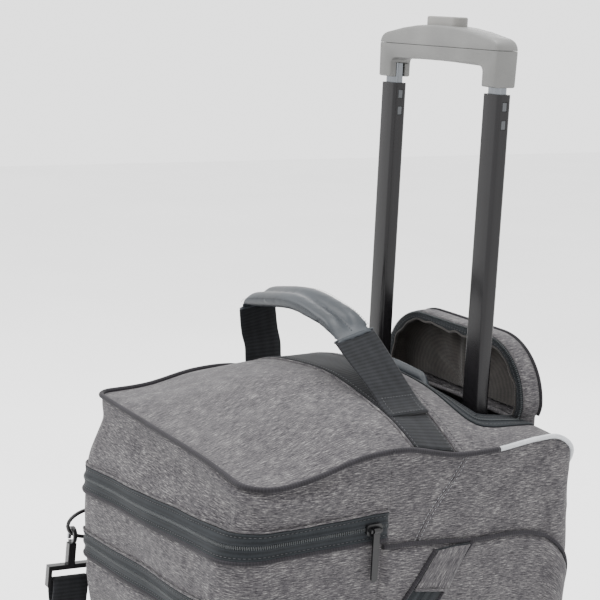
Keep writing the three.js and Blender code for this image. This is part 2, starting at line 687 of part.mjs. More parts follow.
// Well that takes the stowed grip, with the two tubes coming up through its floor.
function trolleyWell() {
  const c = 0.5;
  const x = WELL.side - c;
  const y0 = TROLLEY_Y - WELL.ahead + c;
  const y1 = TROLLEY_Y + WELL.behind - c;
  const top = EDGE_Z - 7;
  const w = WELL.wall;
  const room = box(-x + w, x - w, y0 + w, y1 - w, wellFloorZ + 3, BIG);
  let made = box(-x, x, y0, y1, wellFloorZ, top).subtract(room);
  for (const tx of [-TUBE_SPACING / 2, TUBE_SPACING / 2]) {
    const hw = outerSize.width / 2 + GAP;
    const hd = outerSize.depth / 2 + GAP;
    const collar = box(
      tx - hw - 3, tx + hw + 3,
      TROLLEY_Y - hd - 3, TROLLEY_Y + hd + 3,
      wellFloorZ, outerTopZ,
    );
    const hole = box(tx - hw, tx + hw, TROLLEY_Y - hd, TROLLEY_Y + hd, wellFloorZ - 1, BIG);
    made = made.add(collar).subtract(hole);
  }
  return made;
}
add("trolley_well", trolleyWell(), blackPlastic);

// ---- Inside ----
const floorZ = UNDERSIDE_Z + WALL + GAP;
const insideX = WIDTH / 2 - WALL - 1;
const boardTop = floorZ + BOARD;
add(
  "base_board",
  prism(
    roundedRect(12 - insideX, insideX - 12, FRONT + WALL + 16, housingFront - 2, 34),
    "z", floorZ, boardTop,
  ),
  boardPlastic,
);
add(
  "trolley_bracket",
  box(
    -housingInner + 1, housingInner - 1,
    housingFront - 1, TROLLEY_Y + 11,
    boardTop + GAP, OUTER_FOOT_Z - GAP,
  ),
  blackPlastic,
);
const dividerY = TROLLEY_Y - outerSize.depth / 2 - 4;
add(
  "divider_board",
  box(-insideX + 4, insideX - 4, dividerY - BOARD, dividerY, boardTop + 4, wellFloorZ - 2),
  boardPlastic,
);
function laptopSleeve() {
  const half = SLEEVE.width / 2;
  const y1 = dividerY - BOARD - GAP;
  const y0 = y1 - SLEEVE.hollow - 5 - SLEEVE.pad;
  const z0 = boardTop + GAP;
  const pocket = box(
    -half + SLEEVE.pad, half - SLEEVE.pad,
    y0 + SLEEVE.pad, y1 - 5,
    z0 + SLEEVE.floor, BIG,
  );
  return box(-half, half, y0, y1, z0, z0 + SLEEVE.height).subtract(pocket);
}
add("laptop_sleeve", laptopSleeve(), lining);

// ---- Wheels, housings and feet ----
function wheelHousing() {
  const outline = new THREE.Shape();
  outline.moveTo(housingFront, 20);
  outline.lineTo(wheelY - 6, 20);
  outline.lineTo(BACK + 1, 48);
  outline.lineTo(BACK + 1, HOUSING.height);
  outline.lineTo(housingFront, HOUSING.height);
  const block = prism(outline, "x", housingInner, HOUSING.outer);
  const roomHalf = WHEEL.width / 2 + HOUSING.clear;
  const roomR = WHEEL.radius + HOUSING.clear;
  const room = cylinderX(WHEEL.x - roomHalf, WHEEL.x + roomHalf, wheelY, WHEEL.radius, roomR);
  const bore = cylinderX(housingInner - 1, HOUSING.outer + 1, wheelY, WHEEL.radius, AXLE_R + GAP, 24);
  return block.subtract(room).subtract(bore);
}
addPair("wheel_housing", wheelHousing(), blackPlastic);
const axle = cylinderX(housingInner + 1, HOUSING.outer - 1, wheelY, WHEEL.radius, AXLE_R, 24);
addPair("axle", axle, steel);

for (const [side, x] of [["right", WHEEL.x], ["left", -WHEEL.x]]) {
  const wheel = new THREE.Group();
  wheel.position.set(x, wheelY, WHEEL.radius);
  wheel.rotation.z = -Math.PI / 2;
  root.add(wheel);
  const half = WHEEL.width / 2;
  const tread = WHEEL.radius;
  const ring = [
    [WHEEL.hub + GAP, -half + 1], [tread - 5, -half], [tread, -half + 5],
    [tread, half - 5], [tread - 5, half], [WHEEL.hub + GAP, half - 1], [WHEEL.hub + GAP, -half + 1],
  ];
  const tyre = new THREE.LatheGeometry(ring.map(([r, t]) => new THREE.Vector2(r, t)), 30);
  add(`tyre_${side}`, solid(tyre), tyreRubber, wheel);
  const web = [
    [AXLE_R + GAP, -half + 1], [9, -half + 1], [11, -5], [WHEEL.hub - 4, -5], [WHEEL.hub, -half + 2],
    [WHEEL.hub, half - 2], [WHEEL.hub - 4, 5], [11, 5], [9, half - 1], [AXLE_R + GAP, half - 1],
    [AXLE_R + GAP, -half + 1],
  ];
  const hub = new THREE.LatheGeometry(web.map(([r, t]) => new THREE.Vector2(r, t)), 30);
  add(`hub_${side}`, solid(hub), hubPlastic, wheel);
}

function foot() {
  const outline = new THREE.Shape();
  outline.moveTo(FRONT + 22, 0);
  outline.lineTo(FRONT + 50, 0);
  outline.lineTo(FRONT + 60, UNDERSIDE_Z - GAP);
  outline.lineTo(FRONT + 14, UNDERSIDE_Z - GAP);
  return prism(outline, "x", WIDTH / 2 - 70, WIDTH / 2 - 34);
}
addPair("foot", foot(), blackPlastic);

// ---- Shoulder strap and what holds it ----
const ringX = WIDTH / 2 + RING.out;
const ringBarY = FRONT + 2;
const pivotY = ringBarY - RING.eyeAhead;
function dRing() {
  const points = [];
  const half = RING.height / 2;
  for (let i = 0; i <= 12; i++) {
    const a = -Math.PI / 2 + (i / 12) * Math.PI;
    points.push(new THREE.Vector3(ringX, ringBarY - RING.reach * Math.cos(a), RING.z + half * Math.sin(a)));
  }
  const arc = roundCord(points, RING.wire, 16, 8);
  const bar = solid(
    new THREE.CylinderGeometry(RING.wire, RING.wire, RING.height + 2 * RING.wire, 10)
      .rotateX(Math.PI / 2)
      .translate(ringX, ringBarY, RING.z),
  );
  return arc.add(bar);
}
addPair("d_ring", dRing(), blackPlastic);

// Webbing tab: lies along the side panel and loops round the ring's bar.
function ringTab() {
  const z0 = RING.z - TAB_WIDTH / 2;
  const z1 = RING.z + TAB_WIDTH / 2;
  const flatX = WIDTH / 2 + 4 + 1;
  const loop = prism(roundedRect(flatX, ringX + 5, ringBarY - 5, ringBarY + 8, 3), "z", z0, z1);
  const eyeOutline = roundedRect(ringX - 2.6, ringX + 2.6, ringBarY - 2.8, ringBarY + 3, 2.4);
  const eye = prism(eyeOutline, "z", z0 - 1, z1 + 1);
  const tail = box(flatX, flatX + 3, ringBarY + 4, ringBarY + 62, z0, z1);
  return loop.add(tail).subtract(eye);
}
addPair("ring_tab", ringTab(), webbingCloth);

// Snap hook: an eye through the ring, a stem, and a bar that the webbing turns round.
const wireDrop = (RING.height / 2) * Math.sqrt(1 - (RING.eyeAhead / RING.reach) ** 2);
const eyeZ = RING.z - wireDrop - 1.4;
const hookBarZ = eyeZ - 46;
const strapGroup = new THREE.Group();
strapGroup.position.set(0, pivotY, eyeZ);
strapGroup.rotation.x = -THREE.MathUtils.degToRad(STRAP.lean);
root.add(strapGroup);

function snapHook() {
  const rim = new THREE.Shape();
  rim.absarc(ringX, 0, 9, 0, 2 * Math.PI);
  const hole = new THREE.Path();
  hole.absarc(ringX, 0, 6, 0, 2 * Math.PI, true);
  rim.holes.push(hole);
  const throat = box(ringX + 2.5, ringX + 20, -4, 4, -6.5, 4.5);
  const eye = prism(rim, "y", -2, 2, 0, 12).subtract(throat);
  const stem = box(ringX - 4, ringX + 4, -4, 4, -32, -8);
  const frame = box(ringX - 4, ringX + 4, -24, 24, -52, -30);
  const slot = box(ringX - 6, ringX + 6, -STRAP.width / 2 - 1, STRAP.width / 2 + 1, -47, -35);
  return eye.add(stem).add(frame.subtract(slot));
}
function hookGate() {
  return box(ringX + 5.4, ringX + 8, -1.8, 1.8, -5.8, 4.2);
}
addPair("snap_hook", snapHook(), blackPlastic, strapGroup);
addPair("hook_gate", hookGate(), steel, strapGroup);

// The strap hangs in a catenary between the two hooks. Its constant is found by halving.
function strapLine() {
  let c = 10;
  for (let step = 500; step > 0.001; step /= 2) {
    if ((c + step) * (Math.cosh(ringX / (c + step)) - 1) > STRAP.sag) c += step;
  }
  const low = hookBarZ - eyeZ - STRAP.belowBar - STRAP.sag;
  const line = [];
  for (let i = -24; i <= 24; i++) {
    const x = (i / 24) * ringX;
    line.push([x, low + c * (Math.cosh(x / c) - 1)]);
  }
  return line;
}
add(
  "shoulder_strap",
  ribbon(strapLine(), STRAP.thickness, -STRAP.width / 2, STRAP.width / 2),
  webbingCloth,
  strapGroup,
);

export default root;
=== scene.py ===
import math

import bmesh
import bpy
import numpy as np
from mathutils import Matrix, Vector


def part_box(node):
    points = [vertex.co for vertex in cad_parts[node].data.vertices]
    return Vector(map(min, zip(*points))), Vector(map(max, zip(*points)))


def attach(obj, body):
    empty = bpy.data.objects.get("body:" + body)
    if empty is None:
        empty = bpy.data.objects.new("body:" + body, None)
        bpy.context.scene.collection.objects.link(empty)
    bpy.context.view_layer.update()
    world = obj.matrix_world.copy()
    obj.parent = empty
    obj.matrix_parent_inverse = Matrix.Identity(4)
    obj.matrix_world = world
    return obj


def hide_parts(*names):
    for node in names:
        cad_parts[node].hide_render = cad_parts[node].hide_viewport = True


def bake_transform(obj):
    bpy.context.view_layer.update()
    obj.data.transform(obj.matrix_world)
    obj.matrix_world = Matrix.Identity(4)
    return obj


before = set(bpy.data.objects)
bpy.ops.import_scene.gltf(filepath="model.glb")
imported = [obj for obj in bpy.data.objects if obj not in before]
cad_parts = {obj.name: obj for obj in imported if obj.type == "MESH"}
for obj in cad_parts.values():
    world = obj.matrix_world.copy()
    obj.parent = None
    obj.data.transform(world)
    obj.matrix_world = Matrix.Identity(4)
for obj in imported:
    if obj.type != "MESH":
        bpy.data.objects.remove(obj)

bl_info = {
    "name": "Rolling laptop case",
    "version": (1, 0, 0),
    "blender": (4, 5, 0),
    "location": "View3D > Sidebar > Case",
    "description": "Builds the fabric, webbing, zips, tow handle and running gear of a rolling laptop case",
    "category": "Object",
}

MM = 0.001

# ---- The bag's outer shape, in millimetres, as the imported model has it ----
WIDTH = 308.0
DEPTH = 352.0
MIDDLE_Y = 20.0
UNDERSIDE_Z = 34.0
EDGE_Z = 516.0
REAR_ROUND = 36.0
CROWN = 48.0
FRONT = MIDDLE_Y - DEPTH / 2
BACK = MIDDLE_Y + DEPTH / 2
HINGE_Y = -21.0
MAIN_ZIP_DROP = 65.0
POCKET_ZIP_DROP = 131.0
ZIP_TILT = 0.09
EDGE_RISE = [(0, 0), (0.15, 2), (0.31, 12), (0.41, 13), (0.6, 0), (0.71, -1), (0.85, 3), (1, 3)]
CROWN_SHARE = [
    (0, 0), (0.16, 0.33), (0.33, 0.52), (0.47, 0.72), (0.62, 1), (0.68, 0.86), (0.76, 0.52), (0.84, 0.25),
    (1, 0)
]
# Height share, inset, corner radius, front belly, swell of the other sides
LEVELS = [
    (0, 9, 36, 0, 0), (0.02, 0, 44, 0, 0), (0.3, 0, 44, 0, 2), (0.47, 0, 42, 6, 3), (0.66, 0, 38, 20, 4),
    (0.82, 0, 36, 22, 4), (0.89, 0, 32, 17, 3), (0.945, 0, 20, 4, 1), (1, 0, 14, 0, 0),
]


def curve_through(knots):
    """A smooth curve through (position, value) knots, as a function of arrays."""
    xs, ys = np.array(knots, float).T
    slopes = np.gradient(ys, xs)

    def at(x):
        x = np.clip(x, xs[0], xs[-1])
        i = np.clip(np.searchsorted(xs, x, side="right") - 1, 0, len(xs) - 2)
        h = xs[i + 1] - xs[i]
        t = (x - xs[i]) / h
        start = (1 + 2 * t) * (1 - t) ** 2 * ys[i] + t * (1 - t) ** 2 * h * slopes[i]
        return start + t * t * (3 - 2 * t) * ys[i + 1] + t * t * (t - 1) * h * slopes[i + 1]

    return at


edge_rise = curve_through(EDGE_RISE)
crown_share = curve_through(CROWN_SHARE)
level_curves = [curve_through([(row[0], row[k]) for row in LEVELS]) for k in range(1, 5)]


def smooth_step(low, high, x):
    t = np.clip((x - low) / (high - low), 0, 1)
    return t * t * (3 - 2 * t)


def corner_dip(x, y):
    """The slack front right corner hangs a little lower than the rest of the top edge."""
    away = np.hypot(np.minimum(x - WIDTH / 2, 0), (y - FRONT) * 0.9)
    return -5.0 * np.exp(-((away / 62) ** 2))


def edge_z(y):
    from_back = np.clip(BACK - y, 0, REAR_ROUND)
    drop = REAR_ROUND - np.sqrt(REAR_ROUND**2 - (REAR_ROUND - from_back) ** 2)
    return EDGE_Z + edge_rise((y - FRONT) / DEPTH) - drop


def top_z(x, y):
    """Height of the top panel, with its slack waves."""
    across = np.minimum(1, np.abs(x) / (WIDTH / 2))
    share = crown_share((y - FRONT) / DEPTH)
    z = edge_z(y) + corner_dip(x, y) + CROWN * share * (1 - across**2.2)
    inner = np.clip(1 - across**4, 0, 1) * np.clip(share * 3, 0, 1)
    wave = 1.3 * np.sin(x / 37 + y / 51) * np.sin(y / 43 - 0.6) + 0.9 * np.sin(x / 19 - y / 29 + 1.1)
    return z + wave * inner


def zip_z(x, drop):
    return EDGE_Z - drop + ZIP_TILT * x


CORNER_STEPS, SIDE_STEPS, END_STEPS = 12, 74, 62


def ring(up):
    """One ring of the wall, anticlockwise from above, starting at the front right corner."""
    inset, r, belly, swell = [float(c(np.array(up))) for c in level_curves]
    half = WIDTH / 2 + swell - inset
    y0 = FRONT - belly + inset
    y1 = BACK + swell - inset
    slack = r + 14 * float(smooth_step(0.9, 1, np.array(up)))
    corners = [
        (half - slack, y0 + slack, -math.pi / 2, SIDE_STEPS), (half - r, y1 - r, 0, END_STEPS),
        (r - half, y1 - r, math.pi / 2, SIDE_STEPS), (r - half, y0 + r, math.pi, END_STEPS),
    ]
    points = []
    for k, (cx, cy, start, steps) in enumerate(corners):
        radius = slack if k == 0 else r
        for i in range(CORNER_STEPS + 1):
            a = start + i / CORNER_STEPS * math.pi / 2
            points.append((cx + radius * math.cos(a), cy + radius * math.sin(a)))
        nx, ny, nstart, _ = corners[(k + 1) % 4]
        radius = slack if k == 3 else r
        fx, fy = points[-1]
        tx, ty = nx + radius * math.cos(nstart), ny + radius * math.sin(nstart)
        points += [(fx + (tx - fx) * i / steps, fy + (ty - fy) * i / steps) for i in range(1, steps)]
    return np.array(points)


def corner_walk(x, y):
    """Distance round the front right corner: below 0 along the front, above 0 along the right side."""
    along_front = x - WIDTH / 2
    along_side = y - FRONT
    return np.where(along_side > -along_front, along_side, along_front)


def wall_relief(x, y, z):
    """How far the wall's fabric stands off its plain shape: the fold under the piping, puckers and slack."""
    below = edge_z(y) - z
    walk = corner_walk(x, y)
    near = (x > 0) & (y < 40)
    fold = smooth_step(-100, -35, walk) * (1 - smooth_step(55, 110, walk)) * near
    depth = 8 + 15 * smooth_step(-60, 60, walk)
    fold = fold * (
        6.5 * np.exp(-(((below - depth) / 8) ** 2)) - 4.5 * np.exp(
            -(((below - 0.25 * depth) / (0.25 * depth)) ** 2)
        )
    )
    far = smooth_step(-125, -60, -x) * (y < FRONT + 40) * 2.0 * np.exp(-(((below - 20) / 9) ** 2))
    pucker = 0.7 * np.sin((x + y) / 7.5) * np.sin((x - y) / 11) * np.exp(-below / 14)
    beside_zip = np.abs(z - zip_z(x, MAIN_ZIP_DROP))
    pucker = pucker + 0.6 * np.sin((x - 1.3 * y) / 9.0) * np.exp(-np.abs(beside_zip - 18) / 7)
    slack = 1.1 * np.sin(x / 41 + z / 27) * np.sin(y / 47 - z / 39) + 0.8 * np.sin((x + y) / 23 + z / 16)
    back = 6.0 * smooth_step(BACK - 40, BACK - 4, y) * smooth_step(14, 60, below) * (
        1 - smooth_step(180, 330, below)
    )
    return fold - far + pucker + back + slack * smooth_step(0, 25, below)


def wall_grid():
    ups = np.concatenate([np.linspace(0, 0.02, 3), np.linspace(0.05, 0.6, 20), np.linspace(0.612, 1, 58)])
    rows = []
    for up in ups:
        flat = ring(up)
        x, y = flat[:, 0], flat[:, 1]
        z = UNDERSIDE_Z + up * (edge_z(y) + corner_dip(x, y) - UNDERSIDE_Z)
        ahead, behind = np.roll(flat, -1, 0), np.roll(flat, 1, 0)
        along = ahead - behind
        normal = np.stack([along[:, 1], -along[:, 0]], 1)
        normal /= np.linalg.norm(normal, axis=1)[:, None]
        out = wall_relief(x, y, z) * smooth_step(0.03, 0.3, up) * (1 - smooth_step(0.985, 1, up))
        rows.append(np.stack([x + normal[:, 0] * out, y + normal[:, 1] * out, z], 1))
    return np.array(rows)


WALL = wall_grid()
COLUMNS = WALL.shape[1]


def wall_point(column, z):
    """The wall's surface at a column (a fraction is allowed) and a height."""
    i = int(math.floor(column)) % COLUMNS
    j = (i + 1) % COLUMNS
    share = column - math.floor(column)
    ends = []
    for c in (i, j):
        line = WALL[:, c]
        ends.append(
            np.array([np.interp(z, line[:, 2], line[:, 0]), np.interp(z, line[:, 2], line[:, 1]), z])
        )
    return ends[0] * (1 - share) + ends[1] * share


def wall_normal(column, z):
    along = wall_point(column + 0.8, z) - wall_point(column - 0.8, z)
    up = wall_point(column, z + 3) - wall_point(column, z - 3)
    n = np.cross(along, up)
    return n / np.linalg.norm(n)


def off_wall(column, z, out):
    return wall_point(column, z) + wall_normal(column, z) * out


FACES = {
    "right": (CORNER_STEPS, CORNER_STEPS + SIDE_STEPS, 1),
    "back": (2 * CORNER_STEPS + SIDE_STEPS, 2 * CORNER_STEPS + SIDE_STEPS + END_STEPS, 0),
    "left": (3 * CORNER_STEPS + SIDE_STEPS + END_STEPS, 3 * CORNER_STEPS + 2 * SIDE_STEPS + END_STEPS, 1),
    "front": (4 * CORNER_STEPS + 2 * SIDE_STEPS + END_STEPS, COLUMNS, 0),
}


def column_at(face, value):
    """The column whose X (front, back) or Y (left, right) is a value.

    Past the straight part it runs on round the corner.
    """
    first, last, axis = FACES[face]
    row = WALL[60]
    line = row[np.arange(first - CORNER_STEPS, last + CORNER_STEPS + 1) % COLUMNS, axis]
    order = np.arange(first - CORNER_STEPS, last + CORNER_STEPS + 1, dtype=float)
    if line[0] > line[-1]:
        line, order = line[::-1], order[::-1]
    return float(np.interp(value, np.maximum.accumulate(line), order))


# ---- Meshes ----
def rgb(hex_colour):
    """An sRGB hex colour as linear values."""
    parts = [int(hex_colour[i : i + 2], 16) / 255 for i in (1, 3, 5)]
    return (*[p / 12.92 if p <= 0.04045 else ((p + 0.055) / 1.055) ** 2.4 for p in parts], 1.0)


def new_mesh(name, points, faces, uvs=None, smooth=True):
    """A mesh object from points in millimetres; uvs has one list of pairs, in millimetres, for each face."""
    mesh = bpy.data.meshes.new(name)
    mesh.from_pydata([tuple(float(c) * MM for c in p) for p in points], [], [tuple(f) for f in faces])
    if uvs is not None:
        layer = mesh.uv_layers.new(name="UVMap")
        flat = np.array([c * MM for face in uvs for pair in face for c in pair], np.float32)
        layer.data.foreach_set("uv", flat)
    mesh.polygons.foreach_set("use_smooth", [smooth] * len(mesh.polygons))
    obj = bpy.data.objects.new(name, mesh)
    bpy.context.scene.collection.objects.link(obj)
    return obj


def grid_mesh(name, grid, lengths, breadths, closed_across=False, caps=False, smooth=True):
    """A skin over rows of points.

    lengths has one distance a row, breadths one distance a place in the row.
    """
    rows, count = len(grid), len(grid[0])
    points = [p for row in grid for p in row]
    faces, uvs = [], []
    for r in range(rows - 1):
        for c in range(count if closed_across else count - 1):
            d = (c + 1) % count
            b0, b1 = breadths[c], breadths[c + 1] if c + 1 < len(breadths) else breadths[c] + 1
            faces.append((r * count + c, r * count + d, (r + 1) * count + d, (r + 1) * count + c))
            uvs.append([(lengths[r], b0), (lengths[r], b1), (lengths[r + 1], b1), (lengths[r + 1], b0)])
    if caps:
        for r, order in ((0, range(count - 1, -1, -1)), (rows - 1, range(count))):
            faces.append([r * count + c for c in order])
            uvs.append([(lengths[r] + c * 0.1, c * 0.1) for c in range(count)])
    return new_mesh(name, points, faces, uvs, smooth)


def run_lengths(points):
    """Distance along a line to each of its points."""
    points = np.array(points, float)
    return np.concatenate([[0], np.cumsum(np.linalg.norm(np.diff(points, axis=0), axis=1))])


def outward(obj):
    """Turns every face of a closed mesh outwards, after its doubles are merged."""
    bm = bmesh.new()
    bm.from_mesh(obj.data)
    bmesh.ops.remove_doubles(bm, verts=bm.verts, dist=1e-6)
    bmesh.ops.recalc_face_normals(bm, faces=bm.faces)
    bm.to_mesh(obj.data)
    bm.free()
    return obj


def resample(points, step):
    """The same line with evenly spaced points, about a step apart."""
    points = np.array(points, float)
    run = run_lengths(points)
    count = max(2, int(round(run[-1] / step)) + 1)
    at = np.linspace(0, run[-1], count)
    return np.stack([np.interp(at, run, points[:, k]) for k in range(3)], 1)


def smooth_path(points, step=3.0):
    """A Catmull-Rom curve through points, sampled evenly."""
    points = np.array(points, float)
    ends = np.vstack([2 * points[0] - points[1], points, 2 * points[-1] - points[-2]])
    made = []
    for a, b, c, d in zip(ends, ends[1:], ends[2:], ends[3:]):
        for t in np.linspace(0, 1, 12, endpoint=False):
            made.append(
                0.5 * (
                    2 * b + (c - a) * t + (
                        2 * a - 5 * b + 4 * c - d
                    ) * t**2 + (3 * b - a - 3 * c + d) * t**3
                )
            )
    made.append(points[-1])
    return resample(made, step)


def path_frames(path, up=(0, 0, 1)):
    """Tangent, side and lift at each point of a path; lift stays as near to up as it can."""
    path = np.array(path, float)
    tangents = np.gradient(path, axis=0)
    tangents /= np.linalg.norm(tangents, axis=1)[:, None]
    ups = np.broadcast_to(np.array(up, float), path.shape)
    sides = np.cross(tangents, ups)
    sides /= np.maximum(np.linalg.norm(sides, axis=1)[:, None], 1e-6)
    lifts = np.cross(sides, tangents)
    return tangents, sides, lifts


def cord_mesh(name, path, radius, sides=10, up=(0, 0, 1), flat=1.0):
    """A round cord along a path, its ends closed. flat squeezes it across its lift."""
    path = np.array(path, float)
    _, side, lift = path_frames(path, up)
    angles = np.linspace(0, 2 * math.pi, sides, endpoint=False)
    radii = np.full(len(path), radius) if np.isscalar(radius) else np.array(radius)
    grid = []
    for p, s, l, r in zip(path, side, lift, radii):
        grid.append([p + s * r * math.cos(a) + l * r * flat * math.sin(a) for a in angles])
    breadths = [radius * a if np.isscalar(radius) else a for a in np.append(angles, 2 * math.pi)]
    return outward(grid_mesh(name, grid, run_lengths(path), breadths, closed_across=True, caps=True))


def ribbon_mesh(name, path, across, lift, width, thickness, crown=0.0):
    """A webbing strip along a path with rounded edges. across and lift are one direction a point."""
    path = np.array(path, float)
    half, t = width / 2, thickness / 2
    outline = []
    for u, v in ((1, -0.6), (1, 0.6)):
        outline.append((u * half, v * t))
    for u in (0.94, 0.6, 0.2, -0.2, -0.6, -0.94):
        outline.append((u * half, t + crown * (1 - u * u)))
    for u, v in ((-1, 0.6), (-1, -0.6)):
        outline.append((u * half, v * t))
    for u in (-0.94, -0.6, -0.2, 0.2, 0.6, 0.94):
        outline.append((u * half, -t + crown * (1 - u * u)))
    grid = [[p + a * u + l * v for u, v in outline] for p, a, l in zip(path, across, lift)]
    breadths = [0]
    for (u0, v0), (u1, v1) in zip(outline, outline[1:] + outline[:1]):
        breadths.append(breadths[-1] + math.hypot(u1 - u0, v1 - v0))
    return outward(grid_mesh(name, grid, run_lengths(path), breadths, closed_across=True, caps=True))


def wall_strip(name, stations, profile):
    """A strip on the wall.

    stations are (column, height); profile is (height above the line, distance off the wall).
    """
    grid = [[off_wall(c, z + h, d) for h, d in profile] for c, z in stations]
    lengths = run_lengths([row[len(row) // 2] for row in grid])
    breadths = [0]
    for (h0, d0), (h1, d1) in zip(profile, profile[1:] + profile[:1]):
        breadths.append(breadths[-1] + math.hypot(h1 - h0, d1 - d0))
    return outward(grid_mesh(name, grid, lengths, breadths, closed_across=True, caps=True))


def wall_patch(name, columns, low, high, out, rows=40, edge=7.0):
    """A padded panel sewn on the wall between two heights, with its edges turned in.

    The heights may change with the column.
    """
    grid = []
    for c in columns:
        z0, z1 = low(c), high(c)
        line = []
        for k in range(rows + 1):
            z = z0 + (z1 - z0) * k / rows
            ends = min(1, (z - z0) / edge, (z1 - z) / edge)
            lift = math.sqrt(max(0, 1 - (1 - ends) ** 2))
            line.append((z, lift))
        grid.append(line)
    run = run_lengths([wall_point(c, 400) for c in columns])
    total = run[-1]
    made = []
    for c, line, s in zip(columns, grid, run):
        side = min(1, s / edge, (total - s) / edge)
        turn = math.sqrt(max(0, 1 - (1 - side) ** 2))
        made.append([off_wall(c, z, 0.2 + out * lift * turn) for z, lift in line])
    breadths = [line_z for line_z, _ in grid[0]]
    return grid_mesh(name, made, run, breadths)


def evaluated(obj):
    """Applies a piece's modifiers."""
    bpy.context.view_layer.update()
    graph = bpy.context.evaluated_depsgraph_get()
    mesh = bpy.data.meshes.new_from_object(
        obj.evaluated_get(graph), preserve_all_data_layers=True, depsgraph=graph
    )
    obj.modifiers.clear()
    old = obj.data
    obj.data = mesh
    bpy.data.meshes.remove(old)
    return obj


def modify(obj, kind, **settings):
    """Adds a modifier with its settings."""
    m = obj.modifiers.new(kind.title(), kind)
    for key, value in settings.items():
        setattr(m, key, value)
    return m


def give(obj, material, body=None, replaces=(), extra=()):
    """A finished piece's material, slot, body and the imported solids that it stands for."""
    if material is not None:
        obj.data.materials.clear()
        for m in (material, *extra):
            obj.data.materials.append(m)
    if replaces:
        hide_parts(*replaces)
    if body == "lid_bend":
        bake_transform(obj)
    elif body:
        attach(obj, body)
    return obj


def hard_piece(node, name, material, body, bevel=0.6, segments=2, crease=38):
    """A rigid solid as the imported model has it, with its edges rounded."""
    obj = bpy.data.objects.new(name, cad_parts[node].data.copy())
    bpy.context.scene.collection.objects.link(obj)
    bm = bmesh.new()
    bm.from_mesh(obj.data)
    bmesh.ops.remove_doubles(bm, verts=bm.verts, dist=2e-6)
    bmesh.ops.dissolve_limit(bm, angle_limit=math.radians(1.0), verts=bm.verts, edges=bm.edges)
    for face in bm.faces:
        face.smooth = True
    for edge in bm.edges:
        edge.smooth = len(edge.link_faces) != 2 or edge.calc_face_angle(0) < math.radians(crease)
    bm.to_mesh(obj.data)
    bm.free()
    if bevel:
        modify(
            obj, "BEVEL", width=bevel * MM, segments=segments, limit_method="ANGLE",
            angle_limit=math.radians(crease), harden_normals=True, use_clamp_overlap=True,
        )
        evaluated(obj)
    return give(obj, material, body, [node])


# ---- Repeats along a path ----
def repeat_tree():
    """Geometry Nodes: small rounded pieces at even spacing along a line, off its surface."""
    tree = bpy.data.node_groups.new("stitches_along_line", "GeometryNodeTree")
    face = tree.interface
    face.new_socket("Geometry", in_out="INPUT", socket_type="NodeSocketGeometry")
    names = {}
    for name, kind in (("Spacing", "Float"), ("Size", "Vector"), ("Material", "Material")):
        names[name] = face.new_socket(name, in_out="INPUT", socket_type="NodeSocket" + kind).identifier
    face.new_socket("Geometry", in_out="OUTPUT", socket_type="NodeSocketGeometry")
    given = add_node(tree, "NodeGroupInput").outputs
    line = add_node(tree, "GeometryNodeMeshToCurve", {0: given[0]})
    even = add_node(
        tree, "GeometryNodeResampleCurve", {"Curve": line.outputs[0], "Length": given["Spacing"]},
        mode="LENGTH"
    )
    bead = add_node(tree, "GeometryNodeMeshUVSphere", {"Segments": 6, "Rings": 4, "Radius": 0.5})
    out = add_node(tree, "GeometryNodeInputNamedAttribute", {"Name": "out"}, data_type="FLOAT_VECTOR")
    tangent = add_node(tree, "GeometryNodeInputTangent")
    stand = add_node(tree, "FunctionNodeAlignRotationToVector", {"Vector": out.outputs[0]}, axis="Z")
    turned = add_node(
        tree, "FunctionNodeAlignRotationToVector",
        {"Rotation": stand.outputs[0], "Vector": tangent.outputs[0]}, axis="X", pivot_axis="Z",
    )
    placed = add_node(
        tree, "GeometryNodeInstanceOnPoints",
        {
            "Points": even.outputs[0], "Instance": bead.outputs[0], "Rotation": turned.outputs[0],
            "Scale": given["Size"]
        },
    )
    real = add_node(tree, "GeometryNodeRealizeInstances", {0: placed.outputs[0]})
    smooth = add_node(tree, "GeometryNodeSetShadeSmooth", {0: real.outputs[0]})
    painted = add_node(
        tree, "GeometryNodeSetMaterial", {"Geometry": smooth.outputs[0], "Material": given["Material"]}
    )
    add_node(tree, "NodeGroupOutput", {0: painted.outputs[0]})
    return tree, names


def repeats(name, lines, outs, spacing, size, material, body):
    """Pieces of a size (along, across, up) every spacing along lines; outs are the surface's directions."""
    tree, names = REPEAT
    points, edges, normals = [], [], []
    for line, out in zip(lines, outs):
        start = len(points)
        line = np.array(line, float)
        points += list(line)
        normals += list(np.broadcast_to(np.array(out, float), line.shape))
        edges += [(start + i, start + i + 1) for i in range(len(line) - 1)]
    mesh = bpy.data.meshes.new(name)
    mesh.from_pydata([tuple(p * MM) for p in points], edges, [])
    mesh.attributes.new("out", "FLOAT_VECTOR", "POINT").data.foreach_set(
        "vector", np.array(normals, np.float32).ravel()
    )
    obj = bpy.data.objects.new(name, mesh)
    bpy.context.scene.collection.objects.link(obj)
    m = obj.modifiers.new("Stitches", "NODES")
    m.node_group = tree
    m[names["Spacing"]] = spacing * MM
    m[names["Size"]] = tuple(s * MM for s in size)
    m[names["Material"]] = material
    evaluated(obj)
    if not obj.data.polygons:
        raise RuntimeError(f"{name} made no pieces")
    return give(obj, None, body)


# ---- Materials ----
def add_node(tree, kind, links=None, stops=(), **settings):
    """A node with its settings; links has sockets or values for its inputs, stops the colours of a ramp."""
    made = tree.nodes.new(kind)
    for key, value in settings.items():
        setattr(made, key, value)
    for socket, value in (links or {}).items():
        if isinstance(value, bpy.types.NodeSocket):
            tree.links.new(value, made.inputs[socket])
        else:
            made.inputs[socket].default_value = value
    if stops:
        elements = made.color_ramp.elements
        for element, (position, colour) in zip(elements, (stops[0], stops[-1])):
            element.position = position
            element.color = rgb(colour)
        for position, colour in stops[1:-1]:
            elements.new(position).color = rgb(colour)
    return made


